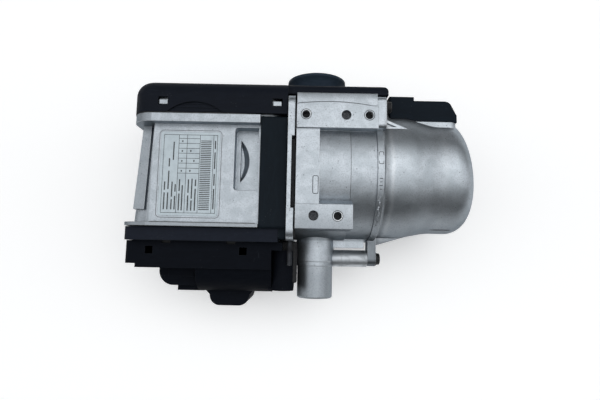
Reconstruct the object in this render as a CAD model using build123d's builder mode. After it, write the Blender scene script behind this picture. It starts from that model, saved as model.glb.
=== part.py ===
"""A compact diesel coolant heater, lying on its back as it was photographed.

The fan and control unit are on the left, the burner head in the middle, the exchanger and its drum right.
X runs along the drum, Y from the exhaust towards the air intake, and Z up out of the resting plane.
X = 0 is the plane through the exhaust axis, Y = 0 the drum axis, and Z = 0 the plane that the back rests on.
"""

import os
from math import atan2, degrees, sqrt

from build123d import *

os.makedirs("parts", exist_ok=True)

# Main stations, in millimetres
AXIS_Z = 46.5  # drum axis above the resting plane
JOINT_X = -13.0  # exchanger's joint face
SCREW_FIT = 0.15  # radial clearance of a screw in its hole
SCREW_TIP_GAP = 0.5  # depth left below a screw's tip
SCREW_HEAD_CHAMFER = 0.5

# Exchanger casting
BAND_R = 43.0
BAND_END_X = 18.0
BODY_R = 42.0
BODY_END_X = 33.3
FLANGE_WIDTH = 13.3
FLANGE_TOP_Y = 40.6
FLANGE_BOTTOM_Y = -37.7
FLANGE_BACK_Z = 5.0
FLANGE_CORNER_R = 12.0
SHOULDER_Y = 33.2  # where the slope above the upper bosses starts
SHOULDER_DROP = 2.6
BOSS_FACE_Z = 91.0
BOSS_ROOT_Z = 62.0
UPPER_BOSS_LOW_Y = 19.4
UPPER_BOSS_CROWN = 1.3  # arch of the upper boss block's top edge
LOWER_BOSS_TOP_Y = -24.0
LOWER_BOSS_LENGTH = 32.0
LOWER_BOSS_RAMP = 2.6
BACK_PAD_LENGTH = 24.0
BACK_PAD_WIDTH = 40.0
BACK_PAD_CORNER_R = 4.0

# Mounting holes and ejector dimples in the boss faces
BOLT_HOLE_R = 2.3
BOLT_HOLE_DEPTH = 16.0
BOLT_SINK_R = 3.0
UPPER_BOLT_Y = 27.1
UPPER_BOLTS_X = (-7.7, 28.2)
LOWER_BOLT_X = 10.6
LOWER_BOLT_Y = -30.5
DIMPLE_R = 2.75
DIMPLE_DEPTH = 6.0
DIMPLES = ((15.1, 27.0), (-2.8, -30.5))

# Exhaust stub
STUB_R = 11.2
STUB_END_Y = -79.3
STUB_CHAMFER = 0.8
COLLAR_R = 12.1
COLLAR_END_Y = -56.5
STOP_R = 11.6
STOP_END_Y = -59.2
EXHAUST_BORE_R = 9.5

# Gas and water spaces of the exchanger
CORE_R = 30.5
CORE_WALL = 3.0
CORE_END_X = 80.0
CORE_ROUND_R = 14.0
WATER_START_X = 20.0
WATER_R = 37.0
FIN_COUNT = 20
FIN_THICKNESS = 1.6
FIN_HEIGHT = 6.0
FIN_ROOT = 0.6  # how far a fin runs into the core's wall
FIN_START_X = 14.0

# Drum
DRUM_WALL = 3.0
DRUM_FLANGE_T = 5.3  # thickness of the ears
DRUM_RING_T = 3.8
DRUM_FLANGE_R = 43.0
DRUM_SHOULDER_R = 40.8
DRUM_SHOULDER_END_X = 54.0
DRUM_R = 37.4
DRUM_TAPER_END_X = 70.0
DRUM_TIP_X = 97.5
KNUCKLE_R = 12.0
CROWN_R = 85.0
CROWN_DROP = 8.0  # crown's centre below the drum's axis
FLANGE_FILLET = 1.9
TAPER_FILLET = 40.0
SEAL_R = 39.5
SEAL_WIDTH = 3.0
SEAL_T = 1.2

# Screws that hold the drum to the exchanger, as Y and Z of each axis
DRUM_SCREWS = ((35.4, 80.0), (36.4, 15.5), (-37.0, 14.0))
DRUM_SCREW_R = 2.5
DRUM_SCREW_HEAD_R = 4.0
DRUM_SCREW_HEAD_T = 4.2
DRUM_SCREW_GRIP = 12.0
SCREW_EAR_R = 6.2
TOP_EAR_LOW_Y = 20.5
TOP_EAR_HIGH_Y = 39.8
TOP_EAR_FRONT_Z = 88.0
TOP_EAR_BACK_Z = 64.0
TOP_EAR_CORNER_R = 3.0

# Tie screw below the drum, with its spacer, level with the exhaust stub
TIE_Y = -54.3
TIE_R = 2.5
TIE_SPACER_R = 4.2
TIE_EAR_R = 4.7
TIE_LUG_START_X = 10.0
TIE_LUG_END_X = 14.0
TIE_HEAD_R = 4.3
TIE_HEAD_T = 3.0

# Ribs on the undersides of the exchanger and the drum
LOWER_RIB_START_X = 8.0
LOWER_RIB_END_X = 31.0
LOWER_RIB_LOW_Y = -47.6
LOWER_RIB_BACK_Z = 44.0
LOWER_RIB_FRONT_Z = 50.0
LOWER_WEB_LOW_Y = -45.7
LOWER_WEB_END_X = 66.0
LOWER_WEB_T = 4.0

# Sensor platform on the drum, its sensors and their cover
PLATFORM_DROP = 8.1  # platform below the drum's top line
PLATFORM_START_X = 46.0
PLATFORM_END_X = 84.3
PLATFORM_FRONT_Z = 73.5
PLATFORM_BACK_Z = 27.0
PLATFORM_CORNER_R = 4.0
GUSSET_T = 3.0
GUSSET_FRONT_Z = 80.5
GUSSET_START_Y = 28.4
GUSSET_END_X = 53.0
GUSSET_END_Y = 22.4
GUSSET_RIM = 1.2  # rim round the hollow in the gusset's front
GUSSET_HOLLOW = 1.5
SENSOR_COVER_START_X = 43.2
SENSOR_COVER_STEP_X = 58.3
SENSOR_COVER_HEIGHT = 13.3
SENSOR_COVER_RISE = 2.4
SENSOR_COVER_WALL = 1.8
SENSOR_COVER_CUT = 9.0
SENSOR_COVER_GAP = 0.3
SENSOR_COVER_EDGE_R = 1.0
SENSOR_R = 4.5
SENSOR_TIP_R = 2.8
SENSOR_SEAT_RISE = 6.0  # seats above the platform
SENSOR_OFFSET = 13.0  # sensors in front of the drum's axis
SENSOR_BOSS_R = 5.0
SENSOR_HEX_T = 3.0
SENSOR_CAP_T = 2.2
SENSOR_REACH = 6.5
SENSOR_FIT = 0.02
SENSORS_X = {"temperature_sensor": 76.0, "overheat_sensor": 63.0}

# Coolant ports on the back of the drum
PORT_R = 9.5
PORT_DEPTH = 10.0
PORT_PASSAGE_R = 7.5
PORT_SPACING = 29.0
PORT_X = 78.0
PORT_Y = -7.0
PORT_WALL = 4.0
PORT_TOP_Z = 34.0
PORT_PLATE_HOLE_R = 2.3
PORT_PLATE_HOLE_DEPTH = 9.0

# Burner head
HEAD_PLATE_T = 4.0
HEAD_GASKET_T = 1.0
GASKET_MARGIN = 1.5
GASKET_SETBACK = 8.0  # gasket behind the plate's front edge
HEAD_TOP_Y = 40.8
HEAD_BOTTOM_Y = -44.0
HEAD_FRONT_Z = 87.5
HEAD_BACK_Z = 4.0
HEAD_CORNER_R = 6.0
HEAD_RELIEF = 1.7
HEAD_RELIEF_TOP_Y = 15.5
HEAD_RELIEF_LOW_Y = -26.0
HEAD_RELIEF_DEPTH = 20.0
HUB_R = 21.5
HUB_WALL = 2.5
HUB_LENGTH = 14.0
HEAD_SCREWS = ((22.0, 17.0), (22.0, 75.0), (-32.0, 17.0), (-32.0, 75.0))
HEAD_SCREW_R = 2.5
HEAD_SCREW_HEAD_R = 4.2
HEAD_SCREW_HEAD_T = 3.5
HEAD_SCREW_GRIP = 10.0

# Burner parts
TUBE_R = 18.0
TUBE_WALL = 1.2
TUBE_END_X = 62.0
TUBE_FLANGE_R = 20.5
TUBE_FLANGE_T = 1.5
TUBE_HOLES_X = 4.0
TUBE_HOLE_R = 2.0
TUBE_HOLE_COUNT = 10
INSERT_T = 5.0
INSERT_FIT = 0.3
VANE_COUNT = 12
VANE_ANGLE = 35.0
VANE_HEIGHT = 5.0
VANE_T = 1.2
VANE_INNER_R = 12.5
VANE_OUTER_R = 16.0
EVAPORATOR_R = 11.0
EVAPORATOR_T = 3.0
EVAPORATOR_FIT = 0.1
GLOW_PIN_R = 2.2
GLOW_PIN_REACH = 14.0
GLOW_PIN_OFFSET = 6.5
GLOW_BODY_R = 3.6
GLOW_BODY_LENGTH = 8.0
FUEL_PIPE_R = 1.5
FUEL_BORE_R = 0.9
FUEL_PIPE_END_Y = -58.6
FUEL_PIPE_SOCKET = 8.0
FUEL_SPIGOT_R = 1.2
FUEL_PIPE_INSET = 16.0  # pipe behind the plate's front edge
FUEL_PIPE_FIT = 0.02

# Fan housing
HOUSING_RIGHT_X = -34.3
HOUSING_LEFT_TOP_X = -107.5
HOUSING_LEFT_LOW_X = -111.5
PAD_LEFT_TOP_X = -97.5
PAD_LEFT_LOW_X = -99.5
PAD_FRONT_Z = 78.3
STRIP_LEVEL_Z = 68.0
HOUSING_CORNER_R = 5.0
RAIL_FRONT_Z = 71.5  # raised rail along the left edge of the casting's front
RAIL_DEPTH = 10.0
RAIL_LOW_Y = -27.0
RAIL_INSET = 1.1
RAIL_TOP_WIDTH = 5.0
RAIL_LOW_WIDTH = 6.5
HOUSING_WALL = 3.0
LEDGE_Y = 28.6
LEDGE_T = 5.0
LEDGE_LEFT_X = -110.2
LEDGE_FRONT_Z = 84.0
LEDGE_CORNER_R = 12.0
RIM_TOP_Y = -35.2
RIM_T = 2.0
RIM_FRONT_Z = 83.5
RIM_LEFT_X = -111.5
RIM_CORNER_R = 6.0
COLLAR_TOP_Y = 40.0
COLLAR_FIT = 1.4  # gap between the collar and the cover round it
COLLAR_RIGHT_X = -22.0

PAD_EDGE_SLOPE = 1.5
FAN_OUTLET_BACK_Z = 30.0
FAN_OUTLET_FRONT_Z = 63.0
OUTLET_INSET = 4.0
CARRIER_SCREW_DEPTH = 6.0

# Pocket in the housing's front, with a shallow dip in its floor
POCKET_LEFT_X = -49.5
POCKET_TOP_Y = 22.0
POCKET_LOW_Y = -15.6
POCKET_DEPTH = 8.0
POCKET_CORNER_R = 2.0
POCKET_LIP = 1.0
DIP_LEFT_X = -46.8
DIP_HEIGHT = 26.0
DIP_WIDTH = 5.4
DIP_DEPTH = 3.4
DIP_FLOOR_HEIGHT = 20.0
DIP_FLOOR_WIDTH = 2.0

# Fan rotor and motor
FAN_X = -72.6
FAN_Z = 42.0
CHAMBER_R = 32.0
IMPELLER_R = 30.5
IMPELLER_GAP = 1.0
IMPELLER_DISC_T = 2.0
BLADE_HEIGHT = 8.0
BLADE_COUNT = 24
BLADE_T = 1.2
BLADE_INNER_R = 17.0
BLADE_LEAN = 25.0
BLADE_INSET = 0.8
IMPELLER_HUB_R = 6.0
SHAFT_R = 3.0
SHAFT_TOP_Y = 42.5
SHAFT_LOW_Y = -17.0
SHAFT_CHAMFER = 0.5
SHAFT_GRIP = 0.01  # radial gap of the pieces that turn with the shaft
BEARING_R = 8.0
BEARING_T = 6.0
BEARING_RUN = 0.03  # radial running clearance of the shaft
BEARING_SEAT = 0.01
CAVITY_R = 23.5
CAVITY_TOP_Y = 19.6
MAGNET_R = 11.0
MAGNET_TOP_Y = 12.0
MAGNET_LENGTH = 20.0
AIR_GAP = 0.6
YOKE_T = 3.0
TOOTH_COUNT = 9
TOOTH_T = 3.2
TOOTH_SHOE_T = 1.2
TOOTH_SHOE_WIDTH = 5.6
COIL_T = 1.8
COIL_GAP = 0.3
CARRIER_TOP_Y = -12.0
CARRIER_T = 3.0
CARRIER_R = 30.0
CARRIER_SCREW_R = 1.5
CARRIER_SCREW_CIRCLE_R = 26.8
CARRIER_SCREW_COUNT = 3
CARRIER_SCREW_HEAD_R = 2.7
CARRIER_SCREW_HEAD_T = 2.0
CARRIER_LIP = 1.5

# Intake cover over the fan, with its duct across the exchanger
COVER_LOW_Y = 29.2
COVER_TOP_Y = 49.3
COVER_LEFT_X = -110.4
COVER_RIGHT_X = -18.5
COVER_WALL = 2.2
COVER_BACK_Z = 0.6
COVER_FRONT_Z = 84.4
COVER_TOP_R = 9.0
JOIN_LAP = 1.0  # overlap of the duct's form into the cap's wall
DUCT_RIGHT_X = 41.3
DUCT_LOW_Y = 43.0
DUCT_FRONT_Z = 80.0
DUCT_BACK_Z = 24.0
DUCT_EDGE_R = 4.0
DUCT_WALL = 1.4
SEAL_INSET = 0.4
ARCH_R = 24.3
ARCH_RISE = 6.3
ARCH_DEPTH = 1.4
ARCH_RIB_COUNT = 3
ARCH_RIB_T = 0.6
ARCH_RIB_RISE = 0.4
WINDOWS_X = (-91.4, -24.6)
WINDOW_Y = 35.8
WINDOW_WIDTH = 6.0
WINDOW_HEIGHT = 4.7
LUG_GAP = 0.6  # round the lug at the window's sides and lower edge
LUG_HEIGHT = 2.7
LUG_SINK = 1.0  # lug behind the cover's front

# Flared air intake
BELL_X = -0.5
BELL_Z = 46.5
BELL_RIM_R = 19.2
BELL_RIM_Y = 62.4
BELL_RIM_T = 1.6
BELL_NECK_R = 14.0
BELL_BORE_R = 10.5
BELL_BORE_LENGTH = 6.0
BELL_FLARE = 1.2

# Air duct between the fan and the burner head
STRIP_LEFT_X = -33.9
STRIP_FRONT_Z = 82.5
STRIP_TOP_Y = 28.4
STRIP_LOW_Y = -37.6
STRIP_BACK_Z = 4.0
STRIP_CORNER_R = 2.0
STRIP_GROOVE = 0.6
STRIP_GROOVE_DEPTH = 3.0
FOOT_SETBACK = 0.6
CHANNEL_R = 26.0
FOOT_WIDTH = 4.6
FOOT_LOW_Y = -43.6

# Control unit: frame, board and connector cover
FRAME_LEFT_X = -112.4
FRAME_TOP_Y = -37.6
FRAME_LOW_Y = -45.3
FRAME_FRONT_Z = 79.0
FRAME_BACK_Z = 2.0
FRAME_WALL = 2.5
FRAME_CORNER_R = 5.0
FRAME_GAP = 0.2
BOARD_T = 1.6
BOARD_Y = -41.0
BOARD_MARGIN = 0.4
BOARD_LEDGE = 1.5
CHIP_SIZE = 14.0
CHIP_T = 1.4
CAPACITOR_R = 4.0
CAPACITOR_HEIGHT = 10.0
CAPACITOR_PITCH = 10.0
CAPACITOR_COUNT = 3
CAPACITOR_Z = 40.0
SWITCH_LENGTH = 9.0
SWITCH_WIDTH = 6.5
SWITCH_T = 2.3
SWITCH_PITCH = 9.0
SWITCH_COUNT = 4
TRAY_LEFT_X = -113.8
TRAY_LOW_Y = -61.2
TRAY_FRONT_Z = 73.0
TRAY_CORNER_R = 6.0
TRAY_STEP = 2.3
TRAY_STEP_X = -106.3
TRAY_RIGHT_X = -20.3
TRAY_BACK_Z = 3.0
TRAY_WALL = 2.2
BELLY_LEFT_X = -72.0
BELLY_RIGHT_X = -26.8
BELLY_BACK_Z = 9.0
BELLY_LOW_Y = -75.8
BELLY_FRONT_Z = 70.0
BELLY_ROUND_R = 20.0
SHOULDER_LEFT_X = -97.0
SHOULDER_LOW_Y = -72.5
SHOULDER_FRONT_Z = 56.0
SHOULDER_BACK_Z = 14.0
SHOULDER_ROUND_R = 9.0
FIELD_LOW_Y = -67.0
FIELD_TOP_Y = -60.5
FIELD_RIGHT_X = -75.2
FIELD_LEFT_X = -90.8
FIELD_RISE = 1.5
TONGUE_LEFT_X = -86.6
TONGUE_LOW_Y = -76.0
TONGUE_FRONT_Z = 50.0
TONGUE_BACK_Z = 22.0
SOCKET_X = -53.8
SOCKET_WIDTH = 25.0
SOCKET_LOW_Y = -85.0
SOCKET_FRONT_Z = 50.0
SOCKET_BACK_Z = 16.0
SOCKET_CORNER_R = 6.5
SOCKET_WALL = 2.5
SOCKET_DEPTH = 16.0
SOCKET_FLARE = 2.4
SOCKET_OFFSET = 3.0
NOTCHES_X = (-88.8, -50.6)
NOTCH_LENGTH = 5.4
NOTCH_DEPTH = 1.4
PIN_ROWS = 2
PIN_COLUMNS = 5
PIN_PITCH = 3.2
PIN_SIZE = 1.0
PIN_LENGTH = 10.0
COLUMN_X = -20.0
COLUMN_R = 6.6
COLUMN_FRONT_Z = 67.0
COLUMN_BACK_Z = 30.0
COLUMN_TOP_Y = -50.0
COLUMN_LOW_Y = -74.0
SNAPS_X = (-98.6, -43.3)
SNAP_Y = -50.9
SNAP_SIZE = 4.6

# Values that several pieces share, worked out from the sizes above
DRUM_AXIS = Axis((0, 0, AXIS_Z), (1, 0, 0))
flange_back_x = JOINT_X + FLANGE_WIDTH
flange_front_z = AXIS_Z + BAND_R
slope_low_z = flange_front_z - SHOULDER_DROP
drum_flange_end_x = BODY_END_X + DRUM_FLANGE_T
drum_ring_end_x = BODY_END_X + DRUM_RING_T
head_right_x = JOINT_X - HEAD_GASKET_T
head_left_x = head_right_x - HEAD_PLATE_T
fuel_pipe_z = HEAD_FRONT_Z - FUEL_PIPE_INSET
hub_left_x = head_left_x - HUB_LENGTH
tube_seat_x = head_right_x - TUBE_FLANGE_T


def across(x):
    """The plane across the drum axis at x, drawn in Y and Z."""
    return Plane.YZ.offset(x)


def level(y):
    """The plane at height y, drawn in X and Z, whose normal points towards the exhaust."""
    return Plane.XZ.offset(-y)


def centre(low, high):
    """Middle of a range."""
    return (low + high) / 2


def ear_outline(y, z, radius):
    """An ear from the drum axis out to a screw at y, z, in a sketch across the drum."""
    turn = degrees(atan2(z - AXIS_Z, y))
    with Locations(Pos(0, AXIS_Z) * Rot(0, 0, turn)):
        Rectangle(sqrt(y**2 + (z - AXIS_Z) ** 2), 2 * radius, align=(Align.MIN, Align.CENTER))
    with Locations((y, z)):
        Circle(radius)


def bounds_outline(low_u, high_u, low_v, high_v):
    """A rectangle between two corners of a sketch."""
    with Locations((centre(low_u, high_u), centre(low_v, high_v))):
        Rectangle(high_u - low_u, high_v - low_v)


def rounded_outline(low_u, high_u, low_v, high_v, radius, mode=Mode.ADD):
    """A rectangle with rounded corners between two corners of a sketch."""
    with Locations((centre(low_u, high_u), centre(low_v, high_v))):
        RectangleRounded(high_u - low_u, high_v - low_v, radius, mode=mode)


# The exchanger casting: flange, band, boss blocks, exhaust stub and finned core
with BuildPart() as exchanger_body:
    with BuildSketch(across(JOINT_X)) as flange_outline:
        with BuildLine():
            Polyline(
                (FLANGE_BOTTOM_Y, FLANGE_BACK_Z),
                (FLANGE_TOP_Y, FLANGE_BACK_Z),
                (FLANGE_TOP_Y, slope_low_z),
                (SHOULDER_Y, flange_front_z),
                (FLANGE_BOTTOM_Y, flange_front_z),
                close=True,
            )
        make_face()
        fillet(flange_outline.vertices().group_by(Axis.Y)[0], FLANGE_CORNER_R)
    extrude(amount=FLANGE_WIDTH)
    with BuildSketch(across(JOINT_X)):
        with Locations((0, AXIS_Z)):
            Circle(BAND_R)
    extrude(amount=BAND_END_X - JOINT_X)
    with BuildSketch(across(BAND_END_X)):
        with Locations((0, AXIS_Z)):
            Circle(BODY_R)
    extrude(amount=BODY_END_X - BAND_END_X)
    # slope behind the upper bosses, as far as the drum joint
    with BuildSketch(across(flange_back_x)):
        with BuildLine():
            Polyline(
                (UPPER_BOSS_LOW_Y, BOSS_ROOT_Z),
                (FLANGE_TOP_Y, BOSS_ROOT_Z),
                (FLANGE_TOP_Y, slope_low_z),
                (SHOULDER_Y, flange_front_z),
                (UPPER_BOSS_LOW_Y, flange_front_z),
                close=True,
            )
        make_face()
    extrude(amount=BODY_END_X - flange_back_x)
    # upper boss block, its top edge slightly arched
    with BuildSketch(Plane.XY.offset(BOSS_ROOT_Z)):
        with BuildLine():
            Polyline(
                (JOINT_X, SHOULDER_Y),
                (JOINT_X, UPPER_BOSS_LOW_Y),
                (BODY_END_X, UPPER_BOSS_LOW_Y),
                (BODY_END_X, SHOULDER_Y - UPPER_BOSS_CROWN),
            )
            ThreePointArc(
                (BODY_END_X, SHOULDER_Y - UPPER_BOSS_CROWN),
                (centre(JOINT_X, BODY_END_X), SHOULDER_Y + UPPER_BOSS_CROWN),
                (JOINT_X, SHOULDER_Y),
            )
        make_face()
    extrude(amount=BOSS_FACE_Z - BOSS_ROOT_Z)
    # lower boss block, with its ramp on to the band
    with BuildSketch(Plane.XY.offset(BOSS_ROOT_Z)):
        bounds_outline(JOINT_X, JOINT_X + LOWER_BOSS_LENGTH, FLANGE_BOTTOM_Y, LOWER_BOSS_TOP_Y)
    extrude(amount=BOSS_FACE_Z - BOSS_ROOT_Z)
    with BuildSketch(across(flange_back_x)):
        with BuildLine():
            Polyline(
                (LOWER_BOSS_TOP_Y, BOSS_ROOT_Z),
                (LOWER_BOSS_TOP_Y, BOSS_FACE_Z),
                (LOWER_BOSS_TOP_Y + LOWER_BOSS_RAMP, BOSS_FACE_Z - 2 * LOWER_BOSS_RAMP),
                (LOWER_BOSS_TOP_Y + LOWER_BOSS_RAMP, BOSS_ROOT_Z),
                close=True,
            )
        make_face()
    extrude(amount=JOINT_X + LOWER_BOSS_LENGTH - flange_back_x)
    # pad on the back that the heater rests on
    with BuildSketch(Plane.XY):
        RectangleRounded(BACK_PAD_LENGTH, BACK_PAD_WIDTH, BACK_PAD_CORNER_R)
    extrude(amount=AXIS_Z - CORE_R)
    # exhaust stub, with its collar and the stop for a pipe
    for radius, end_y in ((STUB_R, STUB_END_Y), (STOP_R, STOP_END_Y), (COLLAR_R, COLLAR_END_Y)):
        with BuildSketch(level(0)):
            with Locations((0, AXIS_Z)):
                Circle(radius)
        extrude(amount=-end_y)
    # lug that takes the tie screw, the rib beside it, and the ears for the drum's screws
    with BuildSketch(across(TIE_LUG_START_X)):
        with Locations((TIE_Y, AXIS_Z)):
            Circle(TIE_SPACER_R)
    extrude(amount=TIE_LUG_END_X - TIE_LUG_START_X)
    with BuildSketch(across(LOWER_RIB_START_X)):
        bounds_outline(LOWER_RIB_LOW_Y, -CORE_R, LOWER_RIB_BACK_Z, LOWER_RIB_FRONT_Z)
    extrude(amount=LOWER_RIB_END_X - LOWER_RIB_START_X)
    with BuildSketch(across(BODY_END_X)):
        for y, z in DRUM_SCREWS:
            ear_outline(y, z, SCREW_EAR_R)
    extrude(amount=-DRUM_SCREW_GRIP)
    # water space round the core, then the core itself
    with BuildSketch(across(WATER_START_X)):
        with Locations((0, AXIS_Z)):
            Circle(WATER_R)
    extrude(amount=BODY_END_X - WATER_START_X, mode=Mode.SUBTRACT)
    with BuildSketch(level(0)) as core_outer:
        bounds_outline(WATER_START_X, CORE_END_X, AXIS_Z, AXIS_Z + CORE_R)
        fillet(core_outer.vertices().group_by(Axis.X)[-1].sort_by(Axis.Y)[-1], CORE_ROUND_R)
    revolve(axis=DRUM_AXIS)
    with BuildSketch(level(0)) as core_inner:
        bounds_outline(JOINT_X, CORE_END_X - CORE_WALL, AXIS_Z, AXIS_Z + CORE_R - CORE_WALL)
        fillet(core_inner.vertices().group_by(Axis.X)[-1].sort_by(Axis.Y)[-1], CORE_ROUND_R - CORE_WALL)
    revolve(axis=DRUM_AXIS, mode=Mode.SUBTRACT)
    with BuildSketch(across(FIN_START_X)):
        with Locations((0, AXIS_Z)):
            with PolarLocations(CORE_R - CORE_WALL + FIN_ROOT - FIN_HEIGHT / 2, FIN_COUNT):
                Rectangle(FIN_HEIGHT, FIN_THICKNESS)
    extrude(amount=CORE_END_X - CORE_ROUND_R - FIN_START_X)
    # exhaust passage, from the gas space out through the stub
    with BuildSketch(level(EXHAUST_BORE_R - CORE_R)):
        with Locations((0, AXIS_Z)):
            Circle(EXHAUST_BORE_R)
    extrude(amount=-STUB_END_Y, mode=Mode.SUBTRACT)
    chamfer(exchanger_body.edges().filter_by(GeomType.CIRCLE).group_by(Axis.Y)[0], STUB_CHAMFER)
    # threaded holes and ejector dimples in the boss faces
    with Locations(*[(x, UPPER_BOLT_Y, BOSS_FACE_Z) for x in UPPER_BOLTS_X]):
        CounterSinkHole(BOLT_HOLE_R, BOLT_SINK_R, depth=BOLT_HOLE_DEPTH)
    with Locations((LOWER_BOLT_X, LOWER_BOLT_Y, BOSS_FACE_Z)):
        CounterSinkHole(BOLT_HOLE_R, BOLT_SINK_R, depth=BOLT_HOLE_DEPTH)
    with Locations(*[(x, y, BOSS_FACE_Z) for x, y in DIMPLES]):
        Hole(DIMPLE_R, depth=DIMPLE_DEPTH)
    # holes for the head screws, the drum's screws and the tie screw
    with BuildSketch(across(JOINT_X)):
        with Locations(*HEAD_SCREWS):
            Circle(HEAD_SCREW_R + SCREW_FIT)
    extrude(amount=HEAD_SCREW_GRIP + SCREW_TIP_GAP, mode=Mode.SUBTRACT)
    with BuildSketch(across(BODY_END_X)):
        with Locations(*DRUM_SCREWS):
            Circle(DRUM_SCREW_R + SCREW_FIT)
    extrude(amount=-DRUM_SCREW_GRIP, mode=Mode.SUBTRACT)
    with BuildSketch(across(TIE_LUG_START_X)):
        with Locations((TIE_Y, AXIS_Z)):
            Circle(TIE_R + SCREW_FIT)
    extrude(amount=TIE_LUG_END_X - TIE_LUG_START_X, mode=Mode.SUBTRACT)
exchanger_body.part.label = "exchanger_body"
export_step(exchanger_body.part, "parts/exchanger_body.step")

# The drum: a dished jacket with its flange, screw ears, sensor platform and coolant ports
crown_centre = (DRUM_TIP_X - CROWN_R, -CROWN_DROP, AXIS_Z)
platform_y = DRUM_R - PLATFORM_DROP
sensor_seat_y = platform_y + SENSOR_SEAT_RISE
sensor_z = AXIS_Z + SENSOR_OFFSET


def dished(outline, depth):
    """A form turned round the drum's axis from an outline in X and Z, and dished at a depth below the skin."""
    with BuildPart() as form:
        add(outline)
        revolve(axis=DRUM_AXIS)
        with Locations(crown_centre):
            Sphere(CROWN_R - depth, mode=Mode.INTERSECT)
        fillet(form.faces().filter_by(GeomType.SPHERE).edges(), KNUCKLE_R - depth)
    return form.part


def drum_outline(grow):
    """The drum's half outline in X and Z, from its axis round the flange and along the taper, grown outwards."""
    with BuildSketch(level(0)) as outline:
        with BuildLine():
            Polyline(
                (BODY_END_X, AXIS_Z),
                (BODY_END_X, AXIS_Z + DRUM_FLANGE_R + grow),
                (drum_ring_end_x + grow, AXIS_Z + DRUM_FLANGE_R + grow),
                (drum_ring_end_x + grow, AXIS_Z + DRUM_SHOULDER_R + grow),
                (DRUM_SHOULDER_END_X, AXIS_Z + DRUM_SHOULDER_R + grow),
                (DRUM_TAPER_END_X, AXIS_Z + DRUM_R + grow),
                (DRUM_TIP_X + grow, AXIS_Z + DRUM_R + grow),
                (DRUM_TIP_X + grow, AXIS_Z),
                close=True,
            )
        make_face()
        corners = outline.vertices()
        fillet(corners.filter_by_position(Axis.X, DRUM_SHOULDER_END_X, DRUM_TAPER_END_X), TAPER_FILLET)
    return outline.sketch


drum_skin = dished(drum_outline(0), 0)
with BuildSketch(level(0)) as water_outline:
    with BuildLine():
        Polyline(
            (BODY_END_X, AXIS_Z),
            (BODY_END_X, AXIS_Z + WATER_R),
            (drum_flange_end_x, AXIS_Z + WATER_R),
            (DRUM_TAPER_END_X, AXIS_Z + DRUM_R - DRUM_WALL),
            (DRUM_TIP_X, AXIS_Z + DRUM_R - DRUM_WALL),
            (DRUM_TIP_X, AXIS_Z),
            close=True,
        )
    make_face()
water_space = dished(water_outline.sketch, DRUM_WALL)

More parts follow.
